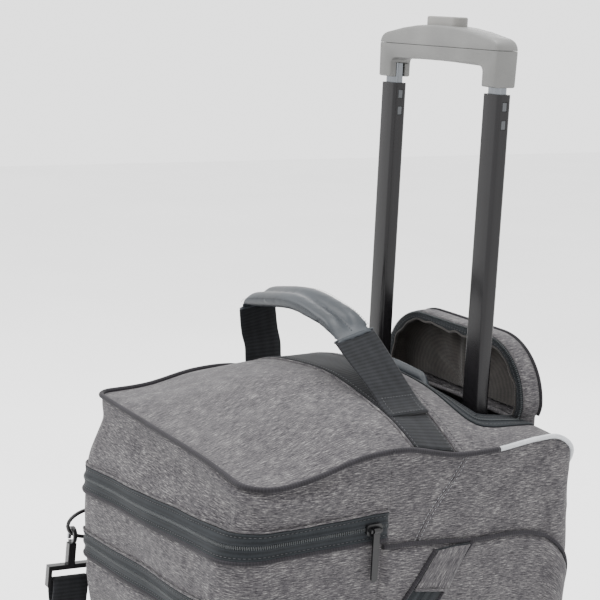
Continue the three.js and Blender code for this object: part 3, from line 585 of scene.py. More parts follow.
def new_material(name, roughness, metallic=0.0, **fixed):
    """A material with its tree and shader; fixed names shader sockets, with _ for a space."""
    m = bpy.data.materials.new(name)
    m.use_nodes = True
    shader = m.node_tree.nodes["Principled BSDF"]
    shader.inputs["Roughness"].default_value = roughness
    shader.inputs["Metallic"].default_value = metallic
    for key, value in fixed.items():
        shader.inputs[key.replace("_", " ")].default_value = value
    return m, m.node_tree, shader


def heather_polyester(name, stops):
    """Woven polyester of mixed dark and pale yarns: short pale and dark slubs along the weft, matt."""
    m, tree, shader = new_material(
        name, 0.92, Sheen_Weight=0.06, Sheen_Roughness=0.5, Specular_IOR_Level=0.15
    )
    uv = add_node(tree, "ShaderNodeTexCoord").outputs["UV"]
    yarns = []
    # Long slubs, short slubs and slow clouds: waves along and across for each metre
    for along, across, detail, rough in ((120, 1150, 3.0, 0.65), (420, 1500, 2.0, 0.6), (34, 60, 2.0, 0.5)):
        where = add_node(tree, "ShaderNodeMapping", {"Vector": uv, "Scale": (along, across, 1)}).outputs[0]
        links = {"Vector": where, "Scale": 1.0, "Detail": detail, "Roughness": rough}
        yarns.append(add_node(tree, "ShaderNodeTexNoise", links).outputs["Fac"])
    threads = []
    for direction, scale in (("X", (190, 0, 1)), ("Y", (0, 190, 1))):
        where = add_node(tree, "ShaderNodeMapping", {"Vector": uv, "Scale": scale}).outputs[0]
        links = {"Vector": where, "Scale": 1.0}
        threads.append(add_node(tree, "ShaderNodeTexWave", links, bands_direction=direction).outputs["Fac"])
    slubs = add_node(tree, "ShaderNodeMix", {0: 0.3, 2: yarns[0], 3: yarns[1]}).outputs[0]
    yarn = add_node(tree, "ShaderNodeMix", {0: 0.12, 2: slubs, 3: yarns[2]}).outputs[0]
    weave = add_node(tree, "ShaderNodeMix", {0: 0.5, 2: threads[0], 3: threads[1]}).outputs[0]
    height = add_node(tree, "ShaderNodeMix", {0: 0.6, 2: weave, 3: yarn}).outputs[0]
    ramp = add_node(tree, "ShaderNodeValToRGB", {"Fac": yarn}, stops)
    bump = add_node(tree, "ShaderNodeBump", {"Height": height, "Distance": 0.5 * MM, "Strength": 0.55})
    tree.links.new(ramp.outputs[0], shader.inputs["Base Color"])
    tree.links.new(bump.outputs[0], shader.inputs["Normal"])
    return m


def ribbed_cloth(name, stops, ribs, roughness, depth, sheen=0.05):
    """Narrow woven goods: ribs (waves along and across, for each metre) with a fine mottle of the yarns."""
    m, tree, shader = new_material(
        name, roughness, Sheen_Weight=sheen, Sheen_Roughness=0.5, Specular_IOR_Level=0.12,
    )
    uv = add_node(tree, "ShaderNodeTexCoord").outputs["UV"]
    waves = []
    for direction, scale in (("X", (ribs[0], 0, 1)), ("Y", (0, ribs[1], 1))):
        where = add_node(tree, "ShaderNodeMapping", {"Vector": uv, "Scale": scale}).outputs[0]
        links = {"Vector": where, "Scale": 1.0}
        waves.append(add_node(tree, "ShaderNodeTexWave", links, bands_direction=direction).outputs["Fac"])
    tones = []
    # Fine mottle of the yarns, then slow changes of tone
    for fineness, rough in ((420, 0.6), (45, 0.5)):
        where = add_node(
            tree, "ShaderNodeMapping", {"Vector": uv, "Scale": (fineness, fineness, 1)}
        ).outputs[0]
        links = {"Vector": where, "Scale": 1.0, "Detail": 2.0, "Roughness": rough}
        tones.append(add_node(tree, "ShaderNodeTexNoise", links).outputs["Fac"])
    rib = add_node(tree, "ShaderNodeMix", {0: ribs[2], 2: waves[0], 3: waves[1]}).outputs[0]
    mottled = add_node(tree, "ShaderNodeMix", {0: 0.5, 2: rib, 3: tones[0]}).outputs[0]
    tone = add_node(tree, "ShaderNodeMix", {0: 0.35, 2: mottled, 3: tones[1]}).outputs[0]
    height = add_node(tree, "ShaderNodeMix", {0: 0.3, 2: rib, 3: tones[0]}).outputs[0]
    ramp = add_node(tree, "ShaderNodeValToRGB", {"Fac": tone}, stops)
    bump = add_node(tree, "ShaderNodeBump", {"Height": height, "Distance": depth * MM, "Strength": 0.7})
    tree.links.new(ramp.outputs[0], shader.inputs["Base Color"])
    tree.links.new(bump.outputs[0], shader.inputs["Normal"])
    return m


def moulded(name, stops, roughness, grain=1400, depth=0.05, metallic=0.0, **fixed):
    """Moulded or grained goods: a fine even grain with slow changes of tone and gloss from handling."""
    m, tree, shader = new_material(name, roughness, metallic, **fixed)
    place = add_node(tree, "ShaderNodeTexCoord").outputs["Object"]
    tones = []
    # Even grain, then slow changes
    for fineness, detail, rough in ((grain, 2.0, 0.6), (18, 3.0, 0.5)):
        where = add_node(tree, "ShaderNodeMapping", {"Vector": place, "Scale": (fineness,) * 3}).outputs[0]
        links = {"Vector": where, "Scale": 1.0, "Detail": detail, "Roughness": rough}
        tones.append(add_node(tree, "ShaderNodeTexNoise", links).outputs["Fac"])
    fine, slow = tones
    tone = add_node(tree, "ShaderNodeMix", {0: 0.35, 2: slow, 3: fine}).outputs[0]
    ramp = add_node(tree, "ShaderNodeValToRGB", {"Fac": tone}, stops)
    limits = {"Value": slow, "To Min": roughness * 0.85, "To Max": min(1, roughness * 1.15)}
    gloss = add_node(tree, "ShaderNodeMapRange", limits)
    bump = add_node(tree, "ShaderNodeBump", {"Height": fine, "Distance": depth * MM, "Strength": 0.5})
    tree.links.new(ramp.outputs[0], shader.inputs["Base Color"])
    tree.links.new(gloss.outputs[0], shader.inputs["Roughness"])
    tree.links.new(bump.outputs[0], shader.inputs["Normal"])
    return m


def drawn_tube(name, stops, roughness, metallic, **fixed):
    """Drawn metal: faint lines along its length from the die, with slow changes of tone."""
    m, tree, shader = new_material(name, roughness, metallic, **fixed)
    place = add_node(tree, "ShaderNodeTexCoord").outputs["Object"]
    tones = []
    for scale in ((1500, 1500, 6), (30, 30, 9)):
        where = add_node(tree, "ShaderNodeMapping", {"Vector": place, "Scale": scale}).outputs[0]
        links = {"Vector": where, "Scale": 1.0, "Detail": 2.0, "Roughness": 0.5}
        tones.append(add_node(tree, "ShaderNodeTexNoise", links).outputs["Fac"])
    tone = add_node(tree, "ShaderNodeMix", {0: 0.5, 2: tones[0], 3: tones[1]}).outputs[0]
    ramp = add_node(tree, "ShaderNodeValToRGB", {"Fac": tone}, stops)
    bump = add_node(tree, "ShaderNodeBump", {"Height": tones[0], "Distance": 0.02 * MM, "Strength": 0.4})
    tree.links.new(ramp.outputs[0], shader.inputs["Base Color"])
    tree.links.new(bump.outputs[0], shader.inputs["Normal"])
    return m


def make_materials():
    c = bpy.context.scene.case_colours
    made = {
        # Heather polyester, 600 denier, coated behind: matt, with pale slubs
        "heather": heather_polyester(
            "heather_polyester",
            [(0.36, "#1d1c1e"), (0.46, c.heather_dark), (0.54, c.heather_light), (0.64, "#7c7a79")]
        ),
        # Plain lining taffeta, brown-grey, slightly shiny
        "lining": ribbed_cloth(
            "lining_taffeta", [(0.3, "#201e1d"), (0.7, c.lining)], (160, 160, 0.5), 0.75, 0.2, 0.2
        ),
        # Flat polyester webbing, ribs every 2 mm across it
        "webbing": ribbed_cloth(
            "polyester_webbing", [(0.25, "#131415"), (0.75, c.webbing)], (80, 26, 0.3), 0.85, 0.3
        ),
        # Cord covered in bias-cut binding
        "piping": ribbed_cloth(
            "bias_piping", [(0.25, "#141315"), (0.75, "#2b292d")], (120, 60, 0.4), 0.75, 0.2
        ),
        # Glass-bead reflective tape: bright grey, grainy
        "reflective": ribbed_cloth(
            "reflective_binding", [(0.2, "#77797c"), (0.7, "#b9bbbe")], (300, 300, 0.5), 0.4, 0.1
        ),
        # Knitted zip tape, ribs along its length
        "tape": ribbed_cloth(
            "knitted_zip_tape", [(0.25, "#121416"), (0.75, "#24272a")], (150, 70, 0.75), 0.8, 0.3
        ),
        # Nylon coil of the zip
        "coil": moulded("nylon_coil", [(0.3, "#1d2022"), (0.7, "#34383a")], 0.45),
        # Thread: bonded nylon
        "thread": moulded("bonded_thread", [(0.3, "#262729"), (0.7, "#36373a")], 0.6),
        "pale_thread": moulded("pale_thread", [(0.3, "#5c5c60"), (0.7, "#747478")], 0.6),
        # Grained vinyl leathercloth of the carry handle
        "vinyl": moulded(
            "vinyl_leathercloth", [(0.3, "#191c1f"), (0.7, c.vinyl)], 0.45, 900, 0.12,
            Specular_IOR_Level=0.3
        ),
        # Glass-filled nylon, spark-eroded mould: satin dark grey
        "grip": moulded("moulded_nylon_grip", [(0.3, "#4b4b4a"), (0.7, "#646462")], 0.5, 1600, 0.05),
        "button": moulded("moulded_nylon_button", [(0.3, "#53524f"), (0.7, "#6b6a67")], 0.45, 1600, 0.04),
        # Black acetal of hooks and sliders: smooth and shiny
        "acetal": moulded(
            "black_acetal", [(0.3, "#0c0c0d"), (0.7, "#161618")], 0.3, 1200, 0.02, Specular_IOR_Level=0.35
        ),
        # ABS of housings, feet and well
        "abs": moulded("black_abs", [(0.3, "#1d1d1f"), (0.7, "#2b2b2e")], 0.5, 1300, 0.06),
        # Black anodised aluminium
        "black_tube": drawn_tube(
            "black_anodised_aluminium", [(0.3, "#0e0d0e"), (0.7, "#19181a")], 0.24, 0.15,
            Specular_IOR_Level=0.3
        ),
        # Clear anodised aluminium
        "bright_tube": drawn_tube(
            "clear_anodised_aluminium", [(0.3, "#5c5f63"), (0.7, "#7b7e82")], 0.25, 1.0
        ),
        "steel": drawn_tube("zinc_plated_steel", [(0.3, "#8f9194"), (0.7, "#b5b7ba")], 0.35, 1.0),
        # Tube bushes: paler grey acetal
        "window": moulded("grey_acetal", [(0.3, "#2f3134"), (0.7, "#414447")], 0.4, 1200, 0.03),
        # Thermoplastic rubber tread and nylon hub
        "tyre": moulded("thermoplastic_rubber", [(0.3, "#161617"), (0.7, "#242425")], 0.8, 700, 0.15),
        "hub": moulded("nylon_hub", [(0.3, "#5f6265"), (0.7, "#787b7e")], 0.5),
        # Polypropylene sheet of the base and divider
        "board": moulded("polypropylene_sheet", [(0.3, "#7b7871"), (0.7, "#918e87")], 0.6, 500, 0.05),
    }
    return made


# ---- Sizes and colours that a user may change ----
class CaseSizes(bpy.types.PropertyGroup):
    stitch_spacing: bpy.props.FloatProperty(
        name="Stitch spacing", description="From one stitch to the next, in millimetres", default=4.2,
        min=2, max=10)
    tooth_spacing: bpy.props.FloatProperty(
        name="Tooth spacing", description="From one zip coil turn to the next, in millimetres",
        default=1.9, min=1.2, max=4)
    piping_radius: bpy.props.FloatProperty(
        name="Piping radius", description="Radius of the piping cord, in millimetres", default=2.5, min=1,
        max=4)
    pocket_lift: bpy.props.FloatProperty(
        name="Pocket lift", description="How far the outside pockets stand off the wall, in millimetres",
        default=4.2, min=1, max=6)
    pad_swell: bpy.props.FloatProperty(
        name="Pad swell", description="The furthest that padding may swell, in millimetres", default=5.0,
        min=0, max=12)
    focal_length: bpy.props.FloatProperty(
        name="Focal length", description="Lens of the camera, in millimetres", default=83.9, min=20, max=200)


class CaseColours(bpy.types.PropertyGroup):
    heather_dark: bpy.props.StringProperty(
        name="Heather, dark yarn", description="sRGB hex colour", default="#373538"
    )
    heather_light: bpy.props.StringProperty(
        name="Heather, pale yarn", description="sRGB hex colour", default="#4c4a4b"
    )
    lining: bpy.props.StringProperty(name="Lining", description="sRGB hex colour", default="#393532")
    webbing: bpy.props.StringProperty(name="Webbing", description="sRGB hex colour", default="#232427")
    vinyl: bpy.props.StringProperty(name="Handle vinyl", description="sRGB hex colour", default="#2d3237")


def mats(name):
    """One of the case's materials, all made on the first call."""
    if not MATERIALS:
        MATERIALS.update(make_materials())
    return MATERIALS[name]


MATERIALS = {}


class CASE_OT_stage(bpy.types.Operator):
    """Pale floor, soft lights and the camera"""

    bl_idname = "case.build_stage"
    bl_label = "Stage"

    def execute(self, context):
        floor = new_mesh(
            "floor", [(-6000, -6000, 0), (6000, -6000, 0), (6000, 9000, 0), (-6000, 9000, 0)],
            [(0, 1, 2, 3)]
        )
        m, tree, shader = new_material("pale_floor", 0.9)
        place = add_node(tree, "ShaderNodeTexCoord").outputs["Object"]
        where = add_node(tree, "ShaderNodeMapping", {"Vector": place, "Scale": (2, 2, 2)}).outputs[0]
        tone = add_node(
            tree, "ShaderNodeTexNoise", {"Vector": where, "Scale": 1.0, "Detail": 2.0, "Roughness": 0.5}
        )
        paint = [(0.3, "#f1f1f1"), (0.7, "#f5f5f5")]
        ramp = add_node(tree, "ShaderNodeValToRGB", {"Fac": tone.outputs["Fac"]}, paint)
        tree.links.new(ramp.outputs[0], shader.inputs["Base Color"])
        floor.data.materials.append(m)
        world = bpy.data.worlds.new("studio")
        context.scene.world = world
        world.use_nodes = True
        world.node_tree.nodes["Background"].inputs["Color"].default_value = (1, 1, 1, 1)
        world.node_tree.nodes["Background"].inputs["Strength"].default_value = 2.3
        for name, at, size, power in (
            (
                "key", (-1.3, -1.6, 2.4), 1.2, 60
            ), ("fill", (2.2, -0.9, 1.3), 1.2, 3), ("top", (0.0, 0.3, 2.8), 1.2, 60),
            ("edge", (-1.5, 1.5, 1.2), 0.9, 8),
        ):
            lamp = bpy.data.lights.new(name, "AREA")
            lamp.energy = power
            lamp.size = size
            obj = bpy.data.objects.new(name, lamp)
            obj.location = at
            obj.rotation_euler = (Vector((0, 0, 0.5)) - Vector(at)).to_track_quat("-Z", "Y").to_euler()
            context.scene.collection.objects.link(obj)
        turn, tilt, roll = (math.radians(a) for a in (57.4, 11.87, 2.55))
        forward = Vector(
            (-math.sin(turn) * math.cos(tilt), math.cos(turn) * math.cos(tilt), -math.sin(tilt))
        )
        level = Vector((math.cos(turn), math.sin(turn), 0))
        upright = level.cross(forward)
        right = math.cos(roll) * level + math.sin(roll) * upright
        up = -math.sin(roll) * level + math.cos(roll) * upright
        lens = bpy.data.cameras.new("camera")
        lens.lens = context.scene.case_sizes.focal_length
        lens.sensor_width = 36
        lens.clip_start = 0.01
        camera = bpy.data.objects.new("camera", lens)
        context.scene.collection.objects.link(camera)
        matrix = Matrix((right, up, -forward)).transposed().to_4x4()
        matrix.translation = Vector((1.07328, -0.70848, 0.89938))
        camera.matrix_world = matrix
        context.scene.camera = camera
        return {"FINISHED"}


def cut_region(bm, planes):
    """Cuts the mesh along planes (point, normal) and deletes the faces that lie behind all of them."""
    for point, normal in planes:
        bmesh.ops.bisect_plane(
            bm, geom=bm.verts[:] + bm.edges[:] + bm.faces[:],
            plane_co=[c * MM for c in point], plane_no=normal, dist=1e-7,
        )
    gone = []
    for face in bm.faces:
        middle = face.calc_center_median() / MM
        if all((middle - Vector(point)).dot(Vector(normal)) < 0 for point, normal in planes):
            gone.append(face)
    bmesh.ops.delete(bm, geom=gone, context="FACES")


OPENING_Y = (115.0, 166.0)
OPENING_X = 109.0


def bag_surface():
    """The whole outside of the bag as one skin: points, faces and texture places."""
    rows = [row for row in WALL]
    rim = ring(1.0)
    for s in np.concatenate([[0.992, 0.98], np.linspace(0.965, 0.04, 52)]):
        x, y = rim[:, 0] * s, MIDDLE_Y + (rim[:, 1] - MIDDLE_Y) * s
        rows.append(np.stack([x, y, top_z(x, y)], 1))
    points = [p for row in rows for p in row]
    tops = len(WALL)
    around = run_lengths(np.vstack([WALL[60], WALL[60][:1]]))
    faces, uvs = [], []
    for r in range(len(rows) - 1):
        for c in range(COLUMNS):
            d = (c + 1) % COLUMNS
            corners = ((r, c), (r, d), (r + 1, d), (r + 1, c))
            faces.append([a * COLUMNS + b for a, b in corners])
            if r + 1 < tops:
                u = (around[c], around[c + 1])
                uvs.append(
                    [
                        (u[0], rows[r][c][2]), (u[1], rows[r][d][2]), (u[1], rows[r + 1][d][2]),
                        (u[0], rows[r + 1][c][2])
                    ]
                )
            else:
                uvs.append([(rows[a][b][1], rows[a][b][0]) for a, b in corners])
    last = (len(rows) - 1) * COLUMNS
    for start, centre, flip in (
        (last, (0, MIDDLE_Y, float(top_z(0.0, MIDDLE_Y))), False), (0, (0, MIDDLE_Y, UNDERSIDE_Z), True)
    ):
        points.append(centre)
        for c in range(COLUMNS):
            d = (c + 1) % COLUMNS
            tri = (start + c, start + d, len(points) - 1)
            faces.append(tri[::-1] if flip else tri)
            uvs.append([(points[i][1], points[i][0]) for i in faces[-1]])
    return points, faces, uvs


class CASE_OT_bag(bpy.types.Operator):
    """Fabric shell of the body and the lid, with their lining"""

    bl_idname = "case.build_bag"
    bl_label = "Bag and lid"

    def execute(self, context):
        slope = Vector((-ZIP_TILT, 0, 1)).normalized()
        zip_plane = ((0, 0, EDGE_Z - MAIN_ZIP_DROP), slope)
        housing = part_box("wheel_housing_right")
        inner, front, top = housing[0].x / MM - 0.5, housing[0].y / MM - 0.5, housing[1].z / MM + 0.5
        surface = bag_surface()
        for name, lid in (("bag_fabric", False), ("lid_fabric", True)):
            obj = new_mesh(name, *surface)
            bm = bmesh.new()
            bm.from_mesh(obj.data)
            if lid:
                cut_region(bm, [(zip_plane[0], tuple(slope))])
                cut_region(bm, [((0, HINGE_Y, 0), (0, -1, 0))])
            else:
                cut_region(bm, [(zip_plane[0], tuple(-slope)), ((0, HINGE_Y, 0), (0, 1, 0))])
                cut_region(bm, [
                    ((-OPENING_X, 0, 0), (-1, 0, 0)), ((OPENING_X, 0, 0), (1, 0, 0)), (
                        (0, OPENING_Y[0], 0), (0, -1, 0)
                    ),
                    ((0, OPENING_Y[1], 0), (0, 1, 0)), ((0, 0, 400), (0, 0, -1)),
                ])
                for side in (1, -1):
                    cut_region(
                        bm,
                        [
                            ((side * inner, 0, 0), (-side, 0, 0)), ((0, front, 0), (0, -1, 0)),
                            ((0, 0, top), (0, 0, 1))
                        ]
                    )
            bmesh.ops.dissolve_degenerate(bm, dist=1e-6, edges=bm.edges)
            bmesh.ops.delete(bm, geom=[v for v in bm.verts if not v.link_faces], context="VERTS")
            for face in bm.faces:
                face.smooth = True
            bm.to_mesh(obj.data)
            bm.free()
            obj.data.materials.append(mats("heather"))
            obj.data.materials.append(mats("lining"))
            modify(obj, "SOLIDIFY", thickness=3.6 * MM, offset=-1, material_offset=1, use_even_offset=False)
            evaluated(obj)
            give(obj, mats("heather"), "lid_bend" if lid else "bag",
                 ["lid_shell" if lid else "body_shell"], [mats("lining")])
        return {"FINISHED"}


def front_run(drop, first, last, step=1.0):
    """Stations round the front from the right side (column first) to the left (column last)."""
    columns = np.arange(first, last, step)
    return [(c, zip_z(wall_point(c, EDGE_Z - drop)[0], drop)) for c in columns]


def zip_band(name, stations, upper, lower, body_up, body_low):
    """The two tapes of a closed zip, each with its folded hem."""
    parts = []
    for sign, nodes, body in ((1, upper, body_up), (-1, lower, body_low)):
        profile = [(sign * h, d) for h, d in (
            (0.9, 0.2), (1.2, 1.6), (2.6, 1.9), (3.4, 1.3), (6.5, 1.1), (9.0, 1.3), (10.0, 2.1),
            (11.0, 1.9), (11.4, 0.2),
        )]
        tape = wall_strip(name + ("_tape_upper" if sign > 0 else "_tape_lower"), stations, profile)
        parts.append((tape, nodes, body))
    return parts


class CASE_OT_zips(bpy.types.Operator):
    """Zip tapes, coils and the two sliders with their pullers"""

    bl_idname = "case.build_zips"
    bl_label = "Zips"

    def execute(self, context):
        sizes = context.scene.case_sizes
        right = column_at("right", HINGE_Y - 2)
        left = column_at("left", HINGE_Y - 2)
        main = [(c % COLUMNS, z) for c, z in front_run(MAIN_ZIP_DROP, left, COLUMNS + right)]
        pocket_from = column_at("front", -140)
        pocket = front_run(POCKET_ZIP_DROP, pocket_from, column_at("front", 128))
        pocket = [(c % COLUMNS, z) for c, z in pocket]
        for part, nodes, body in zip_band(
            "main_zip", main, ["zip_tape_lid"], ["zip_tape_body"], "lid_bend", "bag"
        ):
            give(part, mats("tape"), body, nodes)
        first = True
        for part, nodes, body in zip_band("pocket_zip", pocket, ["zip_tape_pocket"], [], "bag", "bag"):
            give(part, mats("tape"), body, nodes if first else ())
            first = False
        for name, stations, body_up in (("main_zip", main, "lid_bend"), ("pocket_zip", pocket, "bag")):
            for sign, body in ((1, body_up), (-1, "bag")):
                line = [off_wall(c, z + sign * 0.55, 1.9) for c, z in stations]
                outs = [wall_normal(c, z) for c, z in stations]
                label = f"{name}_coil_{'upper' if sign > 0 else 'lower'}"
                repeats(
                    label, [line], [outs], sizes.tooth_spacing, (1.15, 2.6, 1.5), mats("coil"),
                    body
                )
                # Folded edge of the fabric above the tape, bound cord below it
                edge = [off_wall(c, z + sign * 12.6, 1.2 if sign > 0 else 1.5) for c, z in stations]
                radius = 1.15 if sign > 0 else 1.9
                hem = cord_mesh(f"{name}_{'fold' if sign > 0 else 'piping'}", edge, radius, 8)
                give(
                    hem, mats("heather" if sign > 0 else "piping"),
                    body
                )
                seam = [off_wall(c, z + sign * 8.3, 1.55) for c, z in stations]
                repeats(f"{name}_stitches_{'upper' if sign > 0 else 'lower'}", [seam], [outs],
                        sizes.stitch_spacing,
                        (2.9, 0.6, 0.5), mats("thread"), body)
        for node, body in (("main_slider", "main_zip_slider"), ("main_puller", "main_zip_puller"),
                           ("pocket_slider", "pocket_zip_slider"), ("pocket_puller", "pocket_zip_puller")):
            hard_piece(node, node.replace("_", "_zip_"), mats("acetal"), body, 0.5)
        return {"FINISHED"}


def rim_path(y0, out, lift, front=True):
    """The top edge line, standing off it, from the right side to the left.

    It is the front loop (front) or the back one.
    """
    flat = ring(1.0)
    ahead, behind = np.roll(flat, -1, 0), np.roll(flat, 1, 0)
    along = ahead - behind
    normal = np.stack([along[:, 1], -along[:, 0]], 1)
    normal /= np.linalg.norm(normal, axis=1)[:, None]
    points = np.column_stack(
        [flat + normal * out, edge_z(flat[:, 1]) + corner_dip(flat[:, 0], flat[:, 1]) + lift]
    )
    half = len(points) // 2
    if front:
        points = np.roll(points, half, 0)
        keep = points[:, 1] < y0
    else:
        keep = points[:, 1] > y0
    return points[keep]


class CASE_OT_piping(bpy.types.Operator):
    """Piping round the top edge, and its reflective part at the back"""

    bl_idname = "case.build_piping"
    bl_label = "Piping"

    def execute(self, context):
        radius = context.scene.case_sizes.piping_radius
        front = smooth_path(rim_path(HINGE_Y + 3.5, 1.0, 1.0), 4)
        back = smooth_path(rim_path(HINGE_Y - 3.5, 1.0, 1.0, False), 4)
        give(
            cord_mesh("top_piping_lid", front, radius, 10), mats("piping"), "lid_bend",
            ["piping_lid"]
        )
        bright = back[:, 1] > 98
        start, end = int(np.argmax(bright)), len(back) - int(np.argmax(bright[::-1]))
        give(
            cord_mesh("top_piping_right", back[: start + 1], radius, 10), mats("piping"), "bag",
            ["piping_body"]
        )
        give(cord_mesh("top_piping_left", back[end - 1 :], radius, 10), mats("piping"), "bag")
        give(
            cord_mesh("reflective_piping", back[start:end], radius * 0.92, 10), mats("reflective"),
            "bag"
        )
        return {"FINISHED"}


# Top edge of the side pockets: (Y, Z) on the right side, running round the back corner
SIDE_POCKET_TOP = curve_through(
    [
        (-29, 446), (26, 441), (72, 435), (120, 433), (148, 428), (169, 418), (184, 402), (196, 380),
        (206, 352)
    ]
)


def side_columns(first_y, last_walk, mirrored):
    """Columns of the right side, or of the left one in the same order.

    They run from a Y to a distance round the back corner.
    """
    first = column_at("right", first_y)
    columns = np.arange(first, first + last_walk, 1.0)
    if mirrored:
        total = column_at("left", first_y) + first
        return [total - c for c in columns]
    return list(columns)


class CASE_OT_pockets(bpy.types.Operator):
    """Front pocket, side pockets, their piping and zip, and the slanting seams"""

    bl_idname = "case.build_pockets"
    bl_label = "Pockets and side seams"

    def execute(self, context):
        sizes = context.scene.case_sizes
        lift = sizes.pocket_lift
        columns = list(np.arange(column_at("front", -129), column_at("front", 129), 1.0))
        front = wall_patch("front_pocket_panel", [c % COLUMNS for c in columns], lambda c: 76,
                           lambda c: zip_z(wall_point(c, 380)[0], POCKET_ZIP_DROP) - 14.5, lift, 56, 9)
        give(front, mats("heather"), "bag", ["front_pocket"])
        for side, mirrored in (("right", False), ("left", True)):
            columns = side_columns(-29, 84, mirrored)
            run = run_lengths([wall_point(c, 400) for c in columns])
            tops = dict(zip(columns, [float(SIDE_POCKET_TOP(-29 + s)) for s in run]))
            panel_columns = columns if not mirrored else columns[::-1]
            sag = (lambda c: 0.0) if not mirrored else (lambda c: 14.0)
            panel = wall_patch(
                f"side_pocket_{side}_panel", panel_columns, lambda c: 94, lambda c: tops[c] - sag(c), lift,
                60, 7
            )
            give(panel, mats("heather"), "bag", [f"side_pocket_{side}"])
            edge = [off_wall(c, tops[c] + 1 - sag(c), 2.4) for c in columns]
            give(
                cord_mesh(f"side_piping_{side}", smooth_path(edge, 4), 2.1, 10), mats("piping"),
                "bag"
            )
            self.seams(side, mirrored, sizes)
        return {"FINISHED"}

    def seams(self, side, mirrored, sizes):
        """The slanting double seam above the pocket and the slanting zip in it."""
        def at(y, z, out):
            column = column_at("right", y) if not mirrored else column_at("left", y)
            return off_wall(column, z, out), wall_normal(column, z)
        drop = 14.0 if mirrored else 0.0
        lines, outs = [], []
        for offset in (-2.6, 2.6):
            row = [
                at(10 + 38 * t + offset, 446 - drop + (70 + drop) * t, 0.5) for t in np.linspace(0, 1, 24)
            ]
            lines.append([p for p, _ in row])
            outs.append([n for _, n in row])
        repeats(f"slant_stitches_{side}", lines, outs, sizes.stitch_spacing, (3.0, 0.75, 0.6),
                mats("pale_thread"),
                "bag")
        ridge = [at(10 + 38 * t, 446 - drop + (70 + drop) * t, 0.1)[0] for t in np.linspace(0, 1, 24)]
        give(cord_mesh(f"slant_seam_{side}", ridge, 0.9, 8), mats("heather"), "bag")
        lift = sizes.pocket_lift
        # Slanting pocket zip: (low edge Y, high edge Y) at each height
        heights = np.linspace(436 - drop, 352 - drop, 22)
        slant = 0.733
        grid, run = [], []
        for z in heights:
            y0 = 27 - slant * (436 - drop - z)
            line = []
            for share, out in (
                (0, 0.1), (0.03, 1.9), (0.3, 1.2), (0.44, 1.0), (0.47, 1.9), (0.53, 1.9), (0.56, 1.0),
                (0.7, 1.2), (0.97, 1.9), (1, 0.1)
            ):
                line.append(at(y0 + 42 * share, z, lift + out)[0])
            grid.append(line if mirrored else line[::-1])
            run.append((436 - z) * 1.2)
        give(outward_sheet(grid_mesh(f"slant_pocket_tape_{side}", grid, run, [k * 4.2 for k in range(10)])),
             mats("tape"), "bag")
        for name, share in (("front", 0.0), ("rear", 1.0)):
            edge = [at(27 - slant * (436 - drop - z) + 42 * share, z, lift + 1.2)[0] for z in heights]
            give(
                cord_mesh(f"slant_pocket_piping_{name}_{side}", edge, 1.9, 8), mats("piping"),
                "bag"
            )
        # Garage over the zip's top end, and the bar sewn across under it
        grid, run = [], []
        for z in np.linspace(435 - drop, 404 - drop, 10):
            y0 = 27 - slant * (436 - drop - z)
            line = [
                at(
                    y0 + 42 * s, z - 9 * s * (435 - drop - z) / 31, lift + 2.9 + 0.5 * math.sin(s * 9)
                )[0] for s in np.linspace(0.06, 0.94, 8)
            ]
            grid.append(line if mirrored else line[::-1])
            run.append(436 - z)
        give(outward_sheet(grid_mesh(f"slant_pocket_garage_{side}", grid, run, [k * 5 for k in range(8)])),
             mats("heather"), "bag")
        bar = [
            at(
                27 - slant * 32 + 42 * s, 404 - drop - 9 * s, lift + 3.0
            )[0] for s in np.linspace(0.06, 0.94, 8)
        ]
        give(cord_mesh(f"slant_pocket_bar_{side}", bar, 1.5, 8), mats("heather"), "bag")


def outward_sheet(obj):
    """Gives an open sheet on the side a small thickness, its faces pointing away from the bag."""
    centre = Vector((0, MIDDLE_Y * MM, 0))
    first = obj.data.polygons[len(obj.data.polygons) // 2]
    away = Vector((first.center.x - centre.x, first.center.y - centre.y, 0))
    if first.normal.dot(away) < 0:
        obj.data.flip_normals()
    modify(obj, "SOLIDIFY", thickness=0.9 * MM, offset=-1)
    return evaluated(obj)


def puff(obj, cap, voxel=4.0):
    """Swells a closed pad by cloth simulation under pressure, then smooths it.

    No point moves more than cap.
    """
    modify(obj, "REMESH", mode="VOXEL", voxel_size=voxel * MM)
    evaluated(obj)
    before = np.array([v.co for v in obj.data.vertices])
    cloth = obj.modifiers.new("Cloth", "CLOTH")
    cloth.settings.use_pressure = True
    cloth.settings.uniform_pressure_force = 4.0
    cloth.settings.effector_weights.gravity = 0.0
    cloth.settings.quality = 4
    cloth.point_cache.frame_start, cloth.point_cache.frame_end = 1, 20
    for f in range(1, 21):
        bpy.context.scene.frame_set(f)
    evaluated(obj)
    after = np.array([v.co for v in obj.data.vertices])
    move = after - before
    length = np.maximum(np.linalg.norm(move, axis=1), 1e-9)
    move *= np.minimum(1, cap * MM / length)[:, None]
    obj.data.vertices.foreach_set("co", (before + move).astype(np.float32).ravel())
    bpy.context.scene.frame_set(1)
    modify(obj, "SMOOTH", factor=0.5, iterations=3)
    modify(obj, "SUBSURF", levels=1, render_levels=1)
    evaluated(obj)
    for polygon in obj.data.polygons:
        polygon.use_smooth = True
    return obj


HANDLE_Y = 28.0
HANDLE_FOOT_Z = 556.0
HANDLE_LEAN = math.radians(13)
# The grip's middle line: (X, height above the handle's foot, along its lean)
GRIP_LINE = [(-145.3, 37), (-138.3, 48), (-104.3, 57), (-47, 66), (0, 60), (22, 53), (38, 44)]


def leaned(x, y, h):
    """A point of the leaning carry handle, y across it and h up it, in the row frame."""
    return np.array((x, HANDLE_Y + y * math.cos(HANDLE_LEAN) - h * math.sin(HANDLE_LEAN),
                     HANDLE_FOOT_Z + y * math.sin(HANDLE_LEAN) + h * math.cos(HANDLE_LEAN)))


